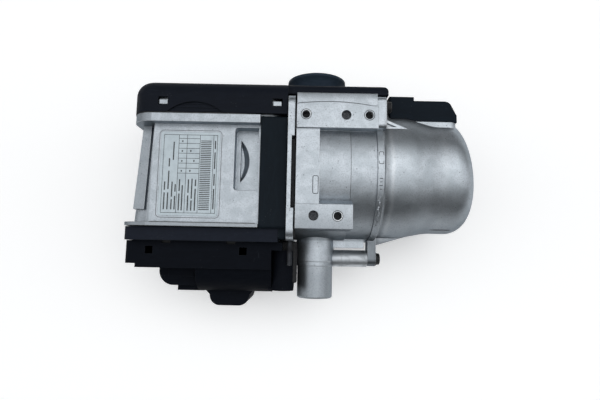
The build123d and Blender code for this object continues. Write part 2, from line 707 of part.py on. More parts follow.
with BuildPart() as water_jacket:
    add(drum_skin)
    ring_root = water_jacket.edges().filter_by(GeomType.CIRCLE)
    ring_root = ring_root.filter_by_position(Axis.X, drum_ring_end_x, drum_ring_end_x).sort_by(SortBy.RADIUS)[0]
    fillet(ring_root, FLANGE_FILLET)
    # ear under the top screw, the other ears, and the one for the tie screw
    with BuildSketch(across(BODY_END_X)):
        rounded_outline(TOP_EAR_LOW_Y, TOP_EAR_HIGH_Y, TOP_EAR_BACK_Z, TOP_EAR_FRONT_Z, TOP_EAR_CORNER_R)
        for y, z in DRUM_SCREWS[1:]:
            ear_outline(y, z, SCREW_EAR_R)
        ear_outline(TIE_Y, AXIS_Z, TIE_EAR_R)
    extrude(amount=DRUM_FLANGE_T)
    # platform for the sensors, the gusset beside the top ear and the web below the drum
    with BuildSketch(level(platform_y)):
        rounded_outline(
            PLATFORM_START_X,
            PLATFORM_END_X,
            PLATFORM_BACK_Z,
            PLATFORM_FRONT_Z,
            PLATFORM_CORNER_R,
        )
    extrude(amount=platform_y)
    with BuildSketch(level(sensor_seat_y)):
        with Locations(*[(x, sensor_z) for x in SENSORS_X.values()]):
            Circle(SENSOR_BOSS_R)
    extrude(amount=sensor_seat_y - platform_y)
    with BuildSketch(level(sensor_seat_y)):
        with Locations(*[(x, sensor_z) for x in SENSORS_X.values()]):
            Circle(SENSOR_BOSS_R)
    extrude(amount=sensor_seat_y - DRUM_SHOULDER_R, mode=Mode.SUBTRACT)
    with BuildSketch(Plane.XY.offset(GUSSET_FRONT_Z - GUSSET_T)):
        with BuildLine():
            Polyline(
                (drum_flange_end_x, GUSSET_START_Y),
                (GUSSET_END_X, GUSSET_END_Y),
                (GUSSET_END_X, 0),
                (drum_flange_end_x, 0),
                close=True,
            )
        make_face()
    extrude(amount=GUSSET_T)
    with BuildSketch(Plane.XY.offset(GUSSET_FRONT_Z)):
        with BuildLine():
            Polyline(
                (drum_flange_end_x + GUSSET_RIM, GUSSET_START_Y - 2 * GUSSET_RIM),
                (drum_flange_end_x + GUSSET_RIM, GUSSET_END_Y + GUSSET_RIM),
                (centre(drum_flange_end_x, GUSSET_END_X), GUSSET_END_Y + GUSSET_RIM),
                close=True,
            )
        make_face()
    extrude(amount=-GUSSET_HOLLOW, mode=Mode.SUBTRACT)
    with BuildSketch(Plane.XY.offset(AXIS_Z)):
        with BuildLine():
            Polyline(
                (drum_flange_end_x, LOWER_WEB_LOW_Y),
                (LOWER_WEB_END_X, -DRUM_R),
                (drum_flange_end_x, -DRUM_R),
                close=True,
            )
        make_face()
    extrude(amount=LOWER_WEB_T / 2, both=True)
    # coolant port sockets, standing down to the resting plane
    with BuildSketch(Plane.XY):
        with Locations((PORT_X, PORT_Y)):
            SlotCenterToCenter(PORT_SPACING, 2 * (PORT_R + PORT_WALL), rotation=90)
    extrude(amount=PORT_TOP_Z)
    # the water space, the open ports and the holes
    add(water_space, mode=Mode.SUBTRACT)
    with BuildSketch(Plane.XY):
        with Locations((PORT_X, PORT_Y)):
            with GridLocations(0, PORT_SPACING, 1, 2):
                Circle(PORT_R)
    extrude(amount=PORT_DEPTH, mode=Mode.SUBTRACT)
    with BuildSketch(Plane.XY):
        with Locations((PORT_X, PORT_Y)):
            with GridLocations(0, PORT_SPACING, 1, 2):
                Circle(PORT_PASSAGE_R)
    extrude(amount=PORT_TOP_Z - DRUM_WALL, mode=Mode.SUBTRACT)
    with Locations(Pos(PORT_X, PORT_Y, 0) * Rot(180, 0, 0)):
        Hole(PORT_PLATE_HOLE_R, depth=PORT_PLATE_HOLE_DEPTH)
    with BuildSketch(across(BODY_END_X)):
        with Locations(*DRUM_SCREWS):
            Circle(DRUM_SCREW_R + SCREW_FIT)
        with Locations((TIE_Y, AXIS_Z)):
            Circle(TIE_R + SCREW_FIT)
    extrude(amount=DRUM_FLANGE_T, mode=Mode.SUBTRACT)
    with BuildSketch(across(BODY_END_X)):
        with Locations((0, AXIS_Z)):
            Circle(SEAL_R + SEAL_WIDTH / 2)
            Circle(SEAL_R - SEAL_WIDTH / 2, mode=Mode.SUBTRACT)
    extrude(amount=SEAL_T, mode=Mode.SUBTRACT)
    with BuildSketch(level(sensor_seat_y)):
        with Locations(*[(x, sensor_z) for x in SENSORS_X.values()]):
            Circle(SENSOR_TIP_R + SENSOR_FIT)
    extrude(amount=sensor_seat_y, mode=Mode.SUBTRACT)
water_jacket.part.label = "water_jacket"
export_step(water_jacket.part, "parts/water_jacket.step")

# Seal in the drum's flange
with BuildPart() as jacket_seal:
    with BuildSketch(across(BODY_END_X)):
        with Locations((0, AXIS_Z)):
            Circle(SEAL_R + SEAL_WIDTH / 2)
            Circle(SEAL_R - SEAL_WIDTH / 2, mode=Mode.SUBTRACT)
    extrude(amount=SEAL_T)
jacket_seal.part.label = "jacket_seal"
export_step(jacket_seal.part, "parts/jacket_seal.step")

# Screws through the drum's ears, heads on the drum's side
with BuildPart() as jacket_screws:
    with BuildSketch(across(drum_flange_end_x)):
        with Locations(*DRUM_SCREWS):
            Circle(DRUM_SCREW_HEAD_R)
    extrude(amount=DRUM_SCREW_HEAD_T)
    chamfer(jacket_screws.edges().filter_by(GeomType.CIRCLE).group_by(Axis.X)[-1], SCREW_HEAD_CHAMFER)
    with BuildSketch(across(drum_flange_end_x)):
        with Locations(*DRUM_SCREWS):
            Circle(DRUM_SCREW_R)
    extrude(amount=SCREW_TIP_GAP - DRUM_FLANGE_T - DRUM_SCREW_GRIP)
jacket_screws.part.label = "jacket_screws"
export_step(jacket_screws.part, "parts/jacket_screws.step")

# Spacer sleeve between the stub's lug and the drum's lower ear
with BuildPart() as tie_spacer:
    with BuildSketch(across(TIE_LUG_END_X)):
        with Locations((TIE_Y, AXIS_Z)):
            Circle(TIE_SPACER_R)
            Circle(TIE_R + SCREW_FIT, mode=Mode.SUBTRACT)
    extrude(amount=BODY_END_X - TIE_LUG_END_X)
tie_spacer.part.label = "tie_spacer"
export_step(tie_spacer.part, "parts/tie_spacer.step")

# Long screw through the lower ear, the spacer and the lug
with BuildPart() as tie_screw:
    with BuildSketch(across(drum_flange_end_x)):
        with Locations((TIE_Y, AXIS_Z)):
            Circle(TIE_HEAD_R)
    extrude(amount=TIE_HEAD_T)
    chamfer(tie_screw.edges().filter_by(GeomType.CIRCLE).group_by(Axis.X)[-1], SCREW_HEAD_CHAMFER)
    with BuildSketch(across(drum_flange_end_x)):
        with Locations((TIE_Y, AXIS_Z)):
            Circle(TIE_R)
    extrude(amount=TIE_LUG_START_X + SCREW_TIP_GAP - drum_flange_end_x)
tie_screw.part.label = "tie_screw"
export_step(tie_screw.part, "parts/tie_screw.step")


# The two sensors stand on bosses of the drum, with their tips in the water space
for name, x in SENSORS_X.items():
    with BuildPart() as sensor:
        with BuildSketch(level(sensor_seat_y + SENSOR_HEX_T)):
            with Locations((x, sensor_z)):
                RegularPolygon(SENSOR_R, 6)
        extrude(amount=SENSOR_HEX_T)
        with BuildSketch(level(sensor_seat_y + SENSOR_HEX_T + SENSOR_CAP_T)):
            with Locations((x, sensor_z)):
                Circle(SENSOR_TIP_R)
        extrude(amount=SENSOR_HEX_T + SENSOR_CAP_T + SENSOR_REACH)
    sensor.part.label = name
    export_step(sensor.part, f"parts/{name}.step")

# Cap over the sensors: a stepped box, cut off towards the drum's end, open below
cover_high_y = platform_y + SENSOR_COVER_HEIGHT
with BuildPart() as sensor_cover:
    with BuildSketch(Plane.XY.offset(PLATFORM_BACK_Z)) as cap_outline:
        with BuildLine():
            Polyline(
                (SENSOR_COVER_START_X, platform_y),
                (SENSOR_COVER_START_X, cover_high_y + SENSOR_COVER_RISE),
                (SENSOR_COVER_STEP_X, cover_high_y + SENSOR_COVER_RISE),
                (SENSOR_COVER_STEP_X, cover_high_y),
                (PLATFORM_END_X - SENSOR_COVER_CUT / 2, cover_high_y),
                (PLATFORM_END_X, cover_high_y - SENSOR_COVER_CUT),
                (PLATFORM_END_X, platform_y),
                close=True,
            )
        make_face()
        fillet(cap_outline.vertices().group_by(Axis.X)[-2], SENSOR_COVER_CUT / 2)
    extrude(amount=PLATFORM_FRONT_Z - PLATFORM_BACK_Z)
    front_edges = sensor_cover.edges().group_by(Axis.Z)[-1]
    above_platform = platform_y + SENSOR_COVER_EDGE_R
    fillet(
        front_edges.filter_by_position(Axis.Y, above_platform, cover_high_y + SENSOR_COVER_CUT),
        SENSOR_COVER_EDGE_R,
    )
    offset(amount=-SENSOR_COVER_WALL, openings=sensor_cover.faces().sort_by(Axis.Y)[0])
    # the skirt is cut to the drum
    add(dished(drum_outline(SENSOR_COVER_GAP), -SENSOR_COVER_GAP), mode=Mode.SUBTRACT)
sensor_cover.part.label = "sensor_cover"
export_step(sensor_cover.part, "parts/sensor_cover.step")

# Burner head: plate with its relief on the joint side, and the hub for the burner
with BuildPart() as head_plate:
    with BuildSketch(across(head_left_x)):
        rounded_outline(HEAD_BOTTOM_Y, HEAD_TOP_Y, HEAD_BACK_Z, HEAD_FRONT_Z, HEAD_CORNER_R)
    extrude(amount=HEAD_PLATE_T)
    with BuildSketch(across(hub_left_x)):
        with Locations((0, AXIS_Z)):
            Circle(HUB_R)
    extrude(amount=HUB_LENGTH)
    with BuildSketch(across(hub_left_x + HUB_WALL)):
        with Locations((0, AXIS_Z)):
            Circle(HUB_R - HUB_WALL)
    extrude(amount=head_right_x - hub_left_x, mode=Mode.SUBTRACT)
    with BuildSketch(across(tube_seat_x)):
        with Locations((0, AXIS_Z)):
            Circle(TUBE_FLANGE_R + INSERT_FIT)
    extrude(amount=TUBE_FLANGE_T, mode=Mode.SUBTRACT)
    with BuildSketch(across(head_right_x)):
        bounds_outline(HEAD_RELIEF_LOW_Y, HEAD_RELIEF_TOP_Y, HEAD_FRONT_Z - HEAD_RELIEF_DEPTH, HEAD_FRONT_Z)
    extrude(amount=-HEAD_RELIEF, mode=Mode.SUBTRACT)
    with BuildSketch(across(head_left_x)):
        with Locations(*HEAD_SCREWS):
            Circle(HEAD_SCREW_R + SCREW_FIT)
    extrude(amount=HEAD_PLATE_T, mode=Mode.SUBTRACT)
    with BuildSketch(level(HEAD_BOTTOM_Y + FUEL_PIPE_SOCKET)):
        with Locations((centre(head_left_x, head_right_x), fuel_pipe_z)):
            Circle(FUEL_SPIGOT_R + FUEL_PIPE_FIT)
    extrude(amount=FUEL_PIPE_SOCKET, mode=Mode.SUBTRACT)
head_plate.part.label = "head_plate"
export_step(head_plate.part, "parts/head_plate.step")

# Gasket between the head and the exchanger
with BuildPart() as head_gasket:
    with BuildSketch(across(head_right_x)):
        rounded_outline(
            HEAD_BOTTOM_Y + GASKET_MARGIN,
            HEAD_TOP_Y - GASKET_MARGIN,
            HEAD_BACK_Z + GASKET_MARGIN,
            HEAD_FRONT_Z - GASKET_SETBACK,
            HEAD_CORNER_R,
        )
        with Locations((0, AXIS_Z)):
            Circle(TUBE_R, mode=Mode.SUBTRACT)
        with Locations(*HEAD_SCREWS):
            Circle(HEAD_SCREW_R + SCREW_FIT, mode=Mode.SUBTRACT)
    extrude(amount=HEAD_GASKET_T)
head_gasket.part.label = "head_gasket"
export_step(head_gasket.part, "parts/head_gasket.step")

# Screws that hold the head to the exchanger
with BuildPart() as head_screws:
    with BuildSketch(across(head_left_x)):
        with Locations(*HEAD_SCREWS):
            Circle(HEAD_SCREW_HEAD_R)
    extrude(amount=-HEAD_SCREW_HEAD_T)
    with BuildSketch(across(head_left_x)):
        with Locations(*HEAD_SCREWS):
            Circle(HEAD_SCREW_R)
    extrude(amount=JOINT_X + HEAD_SCREW_GRIP - head_left_x)
head_screws.part.label = "head_screws"
export_step(head_screws.part, "parts/head_screws.step")

# Combustion tube, with its flange clamped by the gasket and a ring of air holes
with BuildPart() as combustion_tube:
    with BuildSketch(across(tube_seat_x)):
        with Locations((0, AXIS_Z)):
            Circle(TUBE_R)
    extrude(amount=TUBE_END_X - tube_seat_x)
    with BuildSketch(across(tube_seat_x)):
        with Locations((0, AXIS_Z)):
            Circle(TUBE_FLANGE_R)
    extrude(amount=TUBE_FLANGE_T)
    with BuildSketch(across(tube_seat_x)):
        with Locations((0, AXIS_Z)):
            Circle(TUBE_R - TUBE_WALL)
    extrude(amount=TUBE_END_X - tube_seat_x, mode=Mode.SUBTRACT)
    for k in range(TUBE_HOLE_COUNT):
        outward = Vector(0, 1, 0).rotate(DRUM_AXIS, k * 360 / TUBE_HOLE_COUNT)
        with BuildSketch(Plane((TUBE_HOLES_X, 0, AXIS_Z), z_dir=outward)):
            Circle(TUBE_HOLE_R)
        extrude(amount=TUBE_R + TUBE_WALL, mode=Mode.SUBTRACT)
combustion_tube.part.label = "combustion_tube"
export_step(combustion_tube.part, "parts/combustion_tube.step")

# Burner insert: a cup for the evaporator inside a ring of swirl vanes
insert_left_x = tube_seat_x - INSERT_T
pin_z = AXIS_Z + GLOW_PIN_OFFSET
with BuildPart() as burner_insert:
    with BuildSketch(across(insert_left_x)):
        with Locations((0, AXIS_Z)):
            Circle(HUB_R - HUB_WALL - INSERT_FIT)
    extrude(amount=INSERT_T)
    with BuildSketch(across(tube_seat_x)):
        with Locations((0, AXIS_Z)):
            with PolarLocations(centre(VANE_INNER_R, VANE_OUTER_R), VANE_COUNT):
                with Locations(Rot(0, 0, VANE_ANGLE)):
                    Rectangle(VANE_OUTER_R - VANE_INNER_R, VANE_T)
    extrude(amount=VANE_HEIGHT)
    with BuildSketch(across(tube_seat_x - EVAPORATOR_T)):
        with Locations((0, AXIS_Z)):
            Circle(EVAPORATOR_R + EVAPORATOR_FIT)
    extrude(amount=EVAPORATOR_T, mode=Mode.SUBTRACT)
    with BuildSketch(across(insert_left_x)):
        with Locations((0, pin_z)):
            Circle(GLOW_PIN_R + INSERT_FIT)
    extrude(amount=INSERT_T, mode=Mode.SUBTRACT)
burner_insert.part.label = "burner_insert"
export_step(burner_insert.part, "parts/burner_insert.step")

# Metal-fleece evaporator in the insert's cup
with BuildPart() as evaporator_pad:
    with BuildSketch(across(tube_seat_x - EVAPORATOR_T)):
        with Locations((0, AXIS_Z)):
            Circle(EVAPORATOR_R)
        with Locations((0, pin_z)):
            Circle(GLOW_PIN_R + INSERT_FIT, mode=Mode.SUBTRACT)
    extrude(amount=EVAPORATOR_T)
evaporator_pad.part.label = "evaporator_pad"
export_step(evaporator_pad.part, "parts/evaporator_pad.step")

# Glow pin, its body behind the insert and its tip in the tube
with BuildPart() as glow_pin:
    with BuildSketch(across(insert_left_x)):
        with Locations((0, pin_z)):
            Circle(GLOW_BODY_R)
    extrude(amount=-GLOW_BODY_LENGTH)
    with BuildSketch(across(insert_left_x)):
        with Locations((0, pin_z)):
            Circle(GLOW_PIN_R)
    extrude(amount=INSERT_T + GLOW_PIN_REACH)
    fillet(glow_pin.edges().filter_by(GeomType.CIRCLE).sort_by(Axis.X)[-1], GLOW_PIN_R / 2)
glow_pin.part.label = "glow_pin"
export_step(glow_pin.part, "parts/glow_pin.step")

# Fuel pipe below the head, with a thinner spigot in the head's lower edge
with BuildPart() as fuel_pipe:
    with BuildSketch(level(HEAD_BOTTOM_Y)):
        with Locations((centre(head_left_x, head_right_x), fuel_pipe_z)):
            Circle(FUEL_PIPE_R)
    extrude(amount=HEAD_BOTTOM_Y - FUEL_PIPE_END_Y)
    with BuildSketch(level(HEAD_BOTTOM_Y + FUEL_PIPE_SOCKET)):
        with Locations((centre(head_left_x, head_right_x), fuel_pipe_z)):
            Circle(FUEL_SPIGOT_R)
    extrude(amount=FUEL_PIPE_SOCKET)
    with BuildSketch(level(HEAD_BOTTOM_Y + FUEL_PIPE_SOCKET)):
        with Locations((centre(head_left_x, head_right_x), fuel_pipe_z)):
            Circle(FUEL_BORE_R)
    extrude(amount=HEAD_BOTTOM_Y + FUEL_PIPE_SOCKET - FUEL_PIPE_END_Y, mode=Mode.SUBTRACT)
fuel_pipe.part.label = "fuel_pipe"
export_step(fuel_pipe.part, "parts/fuel_pipe.step")

# Air duct between the fan and the burner head, which shows as the black strip
with BuildPart() as air_duct:
    with BuildSketch(across(STRIP_LEFT_X)):
        rounded_outline(STRIP_LOW_Y, STRIP_TOP_Y, STRIP_BACK_Z, STRIP_FRONT_Z, STRIP_CORNER_R)
    extrude(amount=head_left_x - STRIP_LEFT_X)
    with BuildSketch(across(head_left_x - FOOT_WIDTH)):
        rounded_outline(FOOT_LOW_Y, 0, STRIP_BACK_Z, FRAME_FRONT_Z, STRIP_CORNER_R)
    extrude(amount=FOOT_WIDTH - FOOT_SETBACK)
    with BuildSketch(across(STRIP_LEFT_X + DUCT_WALL)):
        with Locations((0, AXIS_Z)):
            Circle(CHANNEL_R)
        bounds_outline(0, STRIP_TOP_Y, FAN_OUTLET_BACK_Z, FAN_OUTLET_FRONT_Z)
    extrude(amount=head_left_x - STRIP_LEFT_X - DUCT_WALL, mode=Mode.SUBTRACT)
    with BuildSketch(across(head_left_x)):
        with Locations(*HEAD_SCREWS):
            Circle(HEAD_SCREW_HEAD_R + SCREW_FIT)
    extrude(amount=-HEAD_SCREW_HEAD_T - SCREW_TIP_GAP, mode=Mode.SUBTRACT)
    # groove that keeps the strip's front clear of the head plate
    with BuildSketch(across(head_left_x)):
        bounds_outline(STRIP_LOW_Y, STRIP_TOP_Y, STRIP_FRONT_Z - STRIP_GROOVE_DEPTH, STRIP_FRONT_Z)
    extrude(amount=-STRIP_GROOVE, mode=Mode.SUBTRACT)
air_duct.part.label = "air_duct"
export_step(air_duct.part, "parts/air_duct.step")

# Fan housing: tapered casting with its ledge, rim and collar, the label pad and the pocket
rail_share = (LEDGE_Y - LEDGE_T - RAIL_LOW_Y) / (LEDGE_Y - LEDGE_T - RIM_TOP_Y)
lug_low_y = WINDOW_Y - WINDOW_HEIGHT / 2 + LUG_GAP
with BuildPart() as fan_housing:
    # the casting widens towards the control unit
    for y, left_x, pad_x in (
        (LEDGE_Y - LEDGE_T, HOUSING_LEFT_TOP_X, PAD_LEFT_TOP_X),
        (RIM_TOP_Y, HOUSING_LEFT_LOW_X, PAD_LEFT_LOW_X),
    ):
        with BuildSketch(level(y)) as plan:
            with BuildLine():
                Polyline(
                    (HOUSING_RIGHT_X, 0),
                    (HOUSING_RIGHT_X, PAD_FRONT_Z),
                    (pad_x, PAD_FRONT_Z),
                    (pad_x - PAD_EDGE_SLOPE, STRIP_LEVEL_Z),
                    (left_x, STRIP_LEVEL_Z),
                    (left_x, 0),
                    close=True,
                )
            make_face()
    loft(ruled=True)
    upright_edges = fan_housing.edges().filter_by(lambda edge: abs(edge.tangent_at(0).Y) > 0.9)
    fillet(upright_edges.sort_by(Axis.X)[:2], HOUSING_CORNER_R)
    # rail along the left edge of the front
    for share, y, width in (
        (0, LEDGE_Y - LEDGE_T, RAIL_TOP_WIDTH),
        (rail_share, RAIL_LOW_Y, RAIL_LOW_WIDTH),
    ):
        rail_left_x = HOUSING_LEFT_TOP_X + share * (HOUSING_LEFT_LOW_X - HOUSING_LEFT_TOP_X) + RAIL_INSET
        with BuildSketch(level(y)):
            bounds_outline(rail_left_x, rail_left_x + width, RAIL_FRONT_Z - RAIL_DEPTH, RAIL_FRONT_Z)
    loft(ruled=True)
    # ledge under the intake cover and rim above the control unit
    with BuildSketch(level(LEDGE_Y)):
        rounded_outline(LEDGE_LEFT_X, HOUSING_RIGHT_X, 0, LEDGE_FRONT_Z, LEDGE_CORNER_R)
        bounds_outline(centre(LEDGE_LEFT_X, HOUSING_RIGHT_X), HOUSING_RIGHT_X, 0, LEDGE_FRONT_Z)
    extrude(amount=LEDGE_T)
    with BuildSketch(level(RIM_TOP_Y)):
        rounded_outline(RIM_LEFT_X, HOUSING_RIGHT_X, 0, RIM_FRONT_Z, RIM_CORNER_R)
        bounds_outline(centre(RIM_LEFT_X, HOUSING_RIGHT_X), HOUSING_RIGHT_X, 0, RIM_FRONT_Z)
    extrude(amount=RIM_T)
    # collar inside the cover, with lugs for the cover's snap windows
    collar_back_z = COVER_BACK_Z + COVER_WALL + COLLAR_FIT
    collar_front_z = COVER_FRONT_Z - COVER_WALL - COLLAR_FIT
    with BuildSketch(level(COLLAR_TOP_Y)):
        rounded_outline(
            COVER_LEFT_X + COVER_WALL + COLLAR_FIT,
            COLLAR_RIGHT_X,
            collar_back_z,
            collar_front_z,
            LEDGE_CORNER_R - COVER_WALL - COLLAR_FIT,
        )
    extrude(amount=COLLAR_TOP_Y - LEDGE_Y)
    with BuildSketch(level(lug_low_y + LUG_HEIGHT)):
        for x in WINDOWS_X:
            bounds_outline(
                x - WINDOW_WIDTH / 2 + LUG_GAP,
                x + WINDOW_WIDTH / 2 - LUG_GAP,
                collar_front_z - HOUSING_WALL,
                COVER_FRONT_Z - LUG_SINK,
            )
    extrude(amount=LUG_HEIGHT)
    # impeller chamber, and the outlet into the air duct
    with BuildSketch(level(COLLAR_TOP_Y)):
        with Locations((FAN_X, FAN_Z)):
            Circle(CHAMBER_R)
        bounds_outline(FAN_X, STRIP_LEFT_X + OUTLET_INSET, FAN_OUTLET_BACK_Z, FAN_OUTLET_FRONT_Z)
    extrude(amount=COLLAR_TOP_Y - LEDGE_Y, mode=Mode.SUBTRACT)
    with BuildSketch(level(COLLAR_TOP_Y)):
        bounds_outline(
            STRIP_LEFT_X + DUCT_WALL,
            COLLAR_RIGHT_X - HOUSING_WALL,
            FAN_OUTLET_BACK_Z,
            FAN_OUTLET_FRONT_Z,
        )
    extrude(amount=COLLAR_TOP_Y - LEDGE_Y + LEDGE_T, mode=Mode.SUBTRACT)
    # motor cavity, carrier seat, bearing seat and shaft hole
    with BuildSketch(level(CAVITY_TOP_Y)):
        with Locations((FAN_X, FAN_Z)):
            Circle(CAVITY_R)
    extrude(amount=CAVITY_TOP_Y - RIM_TOP_Y + RIM_T, mode=Mode.SUBTRACT)
    with BuildSketch(level(CARRIER_TOP_Y)):
        with Locations((FAN_X, FAN_Z)):
            Circle(CARRIER_R + BEARING_SEAT)
    extrude(amount=CARRIER_TOP_Y - RIM_TOP_Y + RIM_T, mode=Mode.SUBTRACT)
    with BuildSketch(level(CAVITY_TOP_Y + BEARING_T)):
        with Locations((FAN_X, FAN_Z)):
            Circle(BEARING_R + BEARING_SEAT)
    extrude(amount=BEARING_T, mode=Mode.SUBTRACT)
    # hollow corners round the motor, open towards the control unit
    with BuildSketch(level(CAVITY_TOP_Y)):
        bounds_outline(
            HOUSING_LEFT_TOP_X + HOUSING_WALL,
            HOUSING_RIGHT_X - HOUSING_WALL,
            HOUSING_WALL,
            PAD_FRONT_Z - POCKET_DEPTH - DIP_DEPTH - HOUSING_WALL,
        )
        with Locations((FAN_X, FAN_Z)):
            Circle(CARRIER_R + HOUSING_WALL, mode=Mode.SUBTRACT)
    extrude(amount=CAVITY_TOP_Y - RIM_TOP_Y + RIM_T, mode=Mode.SUBTRACT)
    with BuildSketch(level(LEDGE_Y)):
        with Locations((FAN_X, FAN_Z)):
            Circle(SHAFT_R + IMPELLER_GAP)
    extrude(amount=LEDGE_Y - CAVITY_TOP_Y, mode=Mode.SUBTRACT)
    with BuildSketch(level(CARRIER_TOP_Y + CARRIER_SCREW_DEPTH)):
        with Locations((FAN_X, FAN_Z)):
            with PolarLocations(CARRIER_SCREW_CIRCLE_R, CARRIER_SCREW_COUNT):
                Circle(CARRIER_SCREW_R + SCREW_FIT)
    extrude(amount=CARRIER_SCREW_DEPTH, mode=Mode.SUBTRACT)
    # pocket in the front, open to the right above its lip, with the dip in its floor
    pocket_floor_z = PAD_FRONT_Z - POCKET_DEPTH
    with BuildSketch(Plane.XY.offset(pocket_floor_z)) as pocket_outline:
        bounds_outline(POCKET_LEFT_X, HOUSING_RIGHT_X - POCKET_LIP, POCKET_LOW_Y, POCKET_TOP_Y)
        fillet(pocket_outline.vertices().group_by(Axis.X)[0], POCKET_CORNER_R)
    extrude(amount=POCKET_DEPTH, mode=Mode.SUBTRACT)
    for z, width, height in (
        (pocket_floor_z, DIP_WIDTH, DIP_HEIGHT),
        (pocket_floor_z - DIP_DEPTH, DIP_FLOOR_WIDTH, DIP_FLOOR_HEIGHT),
    ):
        with BuildSketch(Plane.XY.offset(z)):
            with BuildLine():
                high = (DIP_LEFT_X, centre(POCKET_LOW_Y, POCKET_TOP_Y) + height / 2)
                low = (DIP_LEFT_X, centre(POCKET_LOW_Y, POCKET_TOP_Y) - height / 2)
                ThreePointArc(low, (DIP_LEFT_X + width, centre(POCKET_LOW_Y, POCKET_TOP_Y)), high)
                Line(high, low)
            make_face()
    loft(ruled=True, mode=Mode.SUBTRACT)
fan_housing.part.label = "fan_housing"
export_step(fan_housing.part, "parts/fan_housing.step")

# Lower bearing's carrier, screwed up against the step in the motor cavity
with BuildPart() as bearing_carrier:
    with BuildSketch(level(CARRIER_TOP_Y)):
        with Locations((FAN_X, FAN_Z)):
            Circle(CARRIER_R)
    extrude(amount=CARRIER_T)
    with BuildSketch(level(CARRIER_TOP_Y)):
        with Locations((FAN_X, FAN_Z)):
            Circle(BEARING_R + CARRIER_T)
    extrude(amount=BEARING_T + CARRIER_LIP)
    with BuildSketch(level(CARRIER_TOP_Y)):
        with Locations((FAN_X, FAN_Z)):
            Circle(BEARING_R + BEARING_SEAT)
    extrude(amount=BEARING_T, mode=Mode.SUBTRACT)
    with BuildSketch(level(CARRIER_TOP_Y)):
        with Locations((FAN_X, FAN_Z)):
            Circle(SHAFT_R + IMPELLER_GAP)
            with PolarLocations(CARRIER_SCREW_CIRCLE_R, CARRIER_SCREW_COUNT):
                Circle(CARRIER_SCREW_R + SCREW_FIT)
    extrude(amount=BEARING_T + CARRIER_LIP, mode=Mode.SUBTRACT)
bearing_carrier.part.label = "bearing_carrier"
export_step(bearing_carrier.part, "parts/bearing_carrier.step")

# Screws of the carrier
with BuildPart() as carrier_screws:
    with BuildSketch(level(CARRIER_TOP_Y - CARRIER_T)):
        with Locations((FAN_X, FAN_Z)):
            with PolarLocations(CARRIER_SCREW_CIRCLE_R, CARRIER_SCREW_COUNT):
                Circle(CARRIER_SCREW_HEAD_R)
    extrude(amount=CARRIER_SCREW_HEAD_T)
    with BuildSketch(level(CARRIER_TOP_Y + CARRIER_SCREW_DEPTH - SCREW_TIP_GAP)):
        with Locations((FAN_X, FAN_Z)):
            with PolarLocations(CARRIER_SCREW_CIRCLE_R, CARRIER_SCREW_COUNT):
                Circle(CARRIER_SCREW_R)
    extrude(amount=CARRIER_SCREW_DEPTH - SCREW_TIP_GAP + CARRIER_T)
carrier_screws.part.label = "carrier_screws"
export_step(carrier_screws.part, "parts/carrier_screws.step")

# Bearings of the fan shaft, as closed rings
for name, top_y in (("upper_bearing", CAVITY_TOP_Y + BEARING_T), ("lower_bearing", CARRIER_TOP_Y)):
    with BuildPart() as bearing:
        with BuildSketch(level(top_y)):
            with Locations((FAN_X, FAN_Z)):
                Circle(BEARING_R)
                Circle(SHAFT_R + BEARING_RUN, mode=Mode.SUBTRACT)
        extrude(amount=BEARING_T)
    bearing.part.label = name
    export_step(bearing.part, f"parts/{name}.step")

# Motor shaft
with BuildPart() as motor_shaft:
    with BuildSketch(level(SHAFT_TOP_Y)):
        with Locations((FAN_X, FAN_Z)):
            Circle(SHAFT_R)
    extrude(amount=SHAFT_TOP_Y - SHAFT_LOW_Y)
    chamfer(motor_shaft.edges().filter_by(GeomType.CIRCLE), SHAFT_CHAMFER)
motor_shaft.part.label = "motor_shaft"
export_step(motor_shaft.part, "parts/motor_shaft.step")

# Rotor magnet
with BuildPart() as rotor_magnet:
    with BuildSketch(level(MAGNET_TOP_Y)):
        with Locations((FAN_X, FAN_Z)):
            Circle(MAGNET_R)
            Circle(SHAFT_R + SHAFT_GRIP, mode=Mode.SUBTRACT)
    extrude(amount=MAGNET_LENGTH)
rotor_magnet.part.label = "rotor_magnet"
export_step(rotor_magnet.part, "parts/rotor_magnet.step")

# Impeller: disc and hub with a ring of blades that lean back
impeller_low_y = LEDGE_Y + IMPELLER_GAP
with BuildPart() as impeller:
    with BuildSketch(level(impeller_low_y + IMPELLER_DISC_T)):
        with Locations((FAN_X, FAN_Z)):
            Circle(IMPELLER_R)
    extrude(amount=IMPELLER_DISC_T)
    with BuildSketch(level(impeller_low_y + IMPELLER_DISC_T + BLADE_HEIGHT)):
        with Locations((FAN_X, FAN_Z)):
            Circle(IMPELLER_HUB_R)
            with PolarLocations(centre(BLADE_INNER_R, IMPELLER_R) - BLADE_INSET, BLADE_COUNT):
                with Locations(Rot(0, 0, BLADE_LEAN)):
                    Rectangle(IMPELLER_R - BLADE_INNER_R, BLADE_T)
    extrude(amount=BLADE_HEIGHT)
    with BuildSketch(level(impeller_low_y + IMPELLER_DISC_T + BLADE_HEIGHT)):
        with Locations((FAN_X, FAN_Z)):
            Circle(SHAFT_R + SHAFT_GRIP)
    extrude(amount=BLADE_HEIGHT + IMPELLER_DISC_T, mode=Mode.SUBTRACT)
impeller.part.label = "impeller"
export_step(impeller.part, "parts/impeller.step")

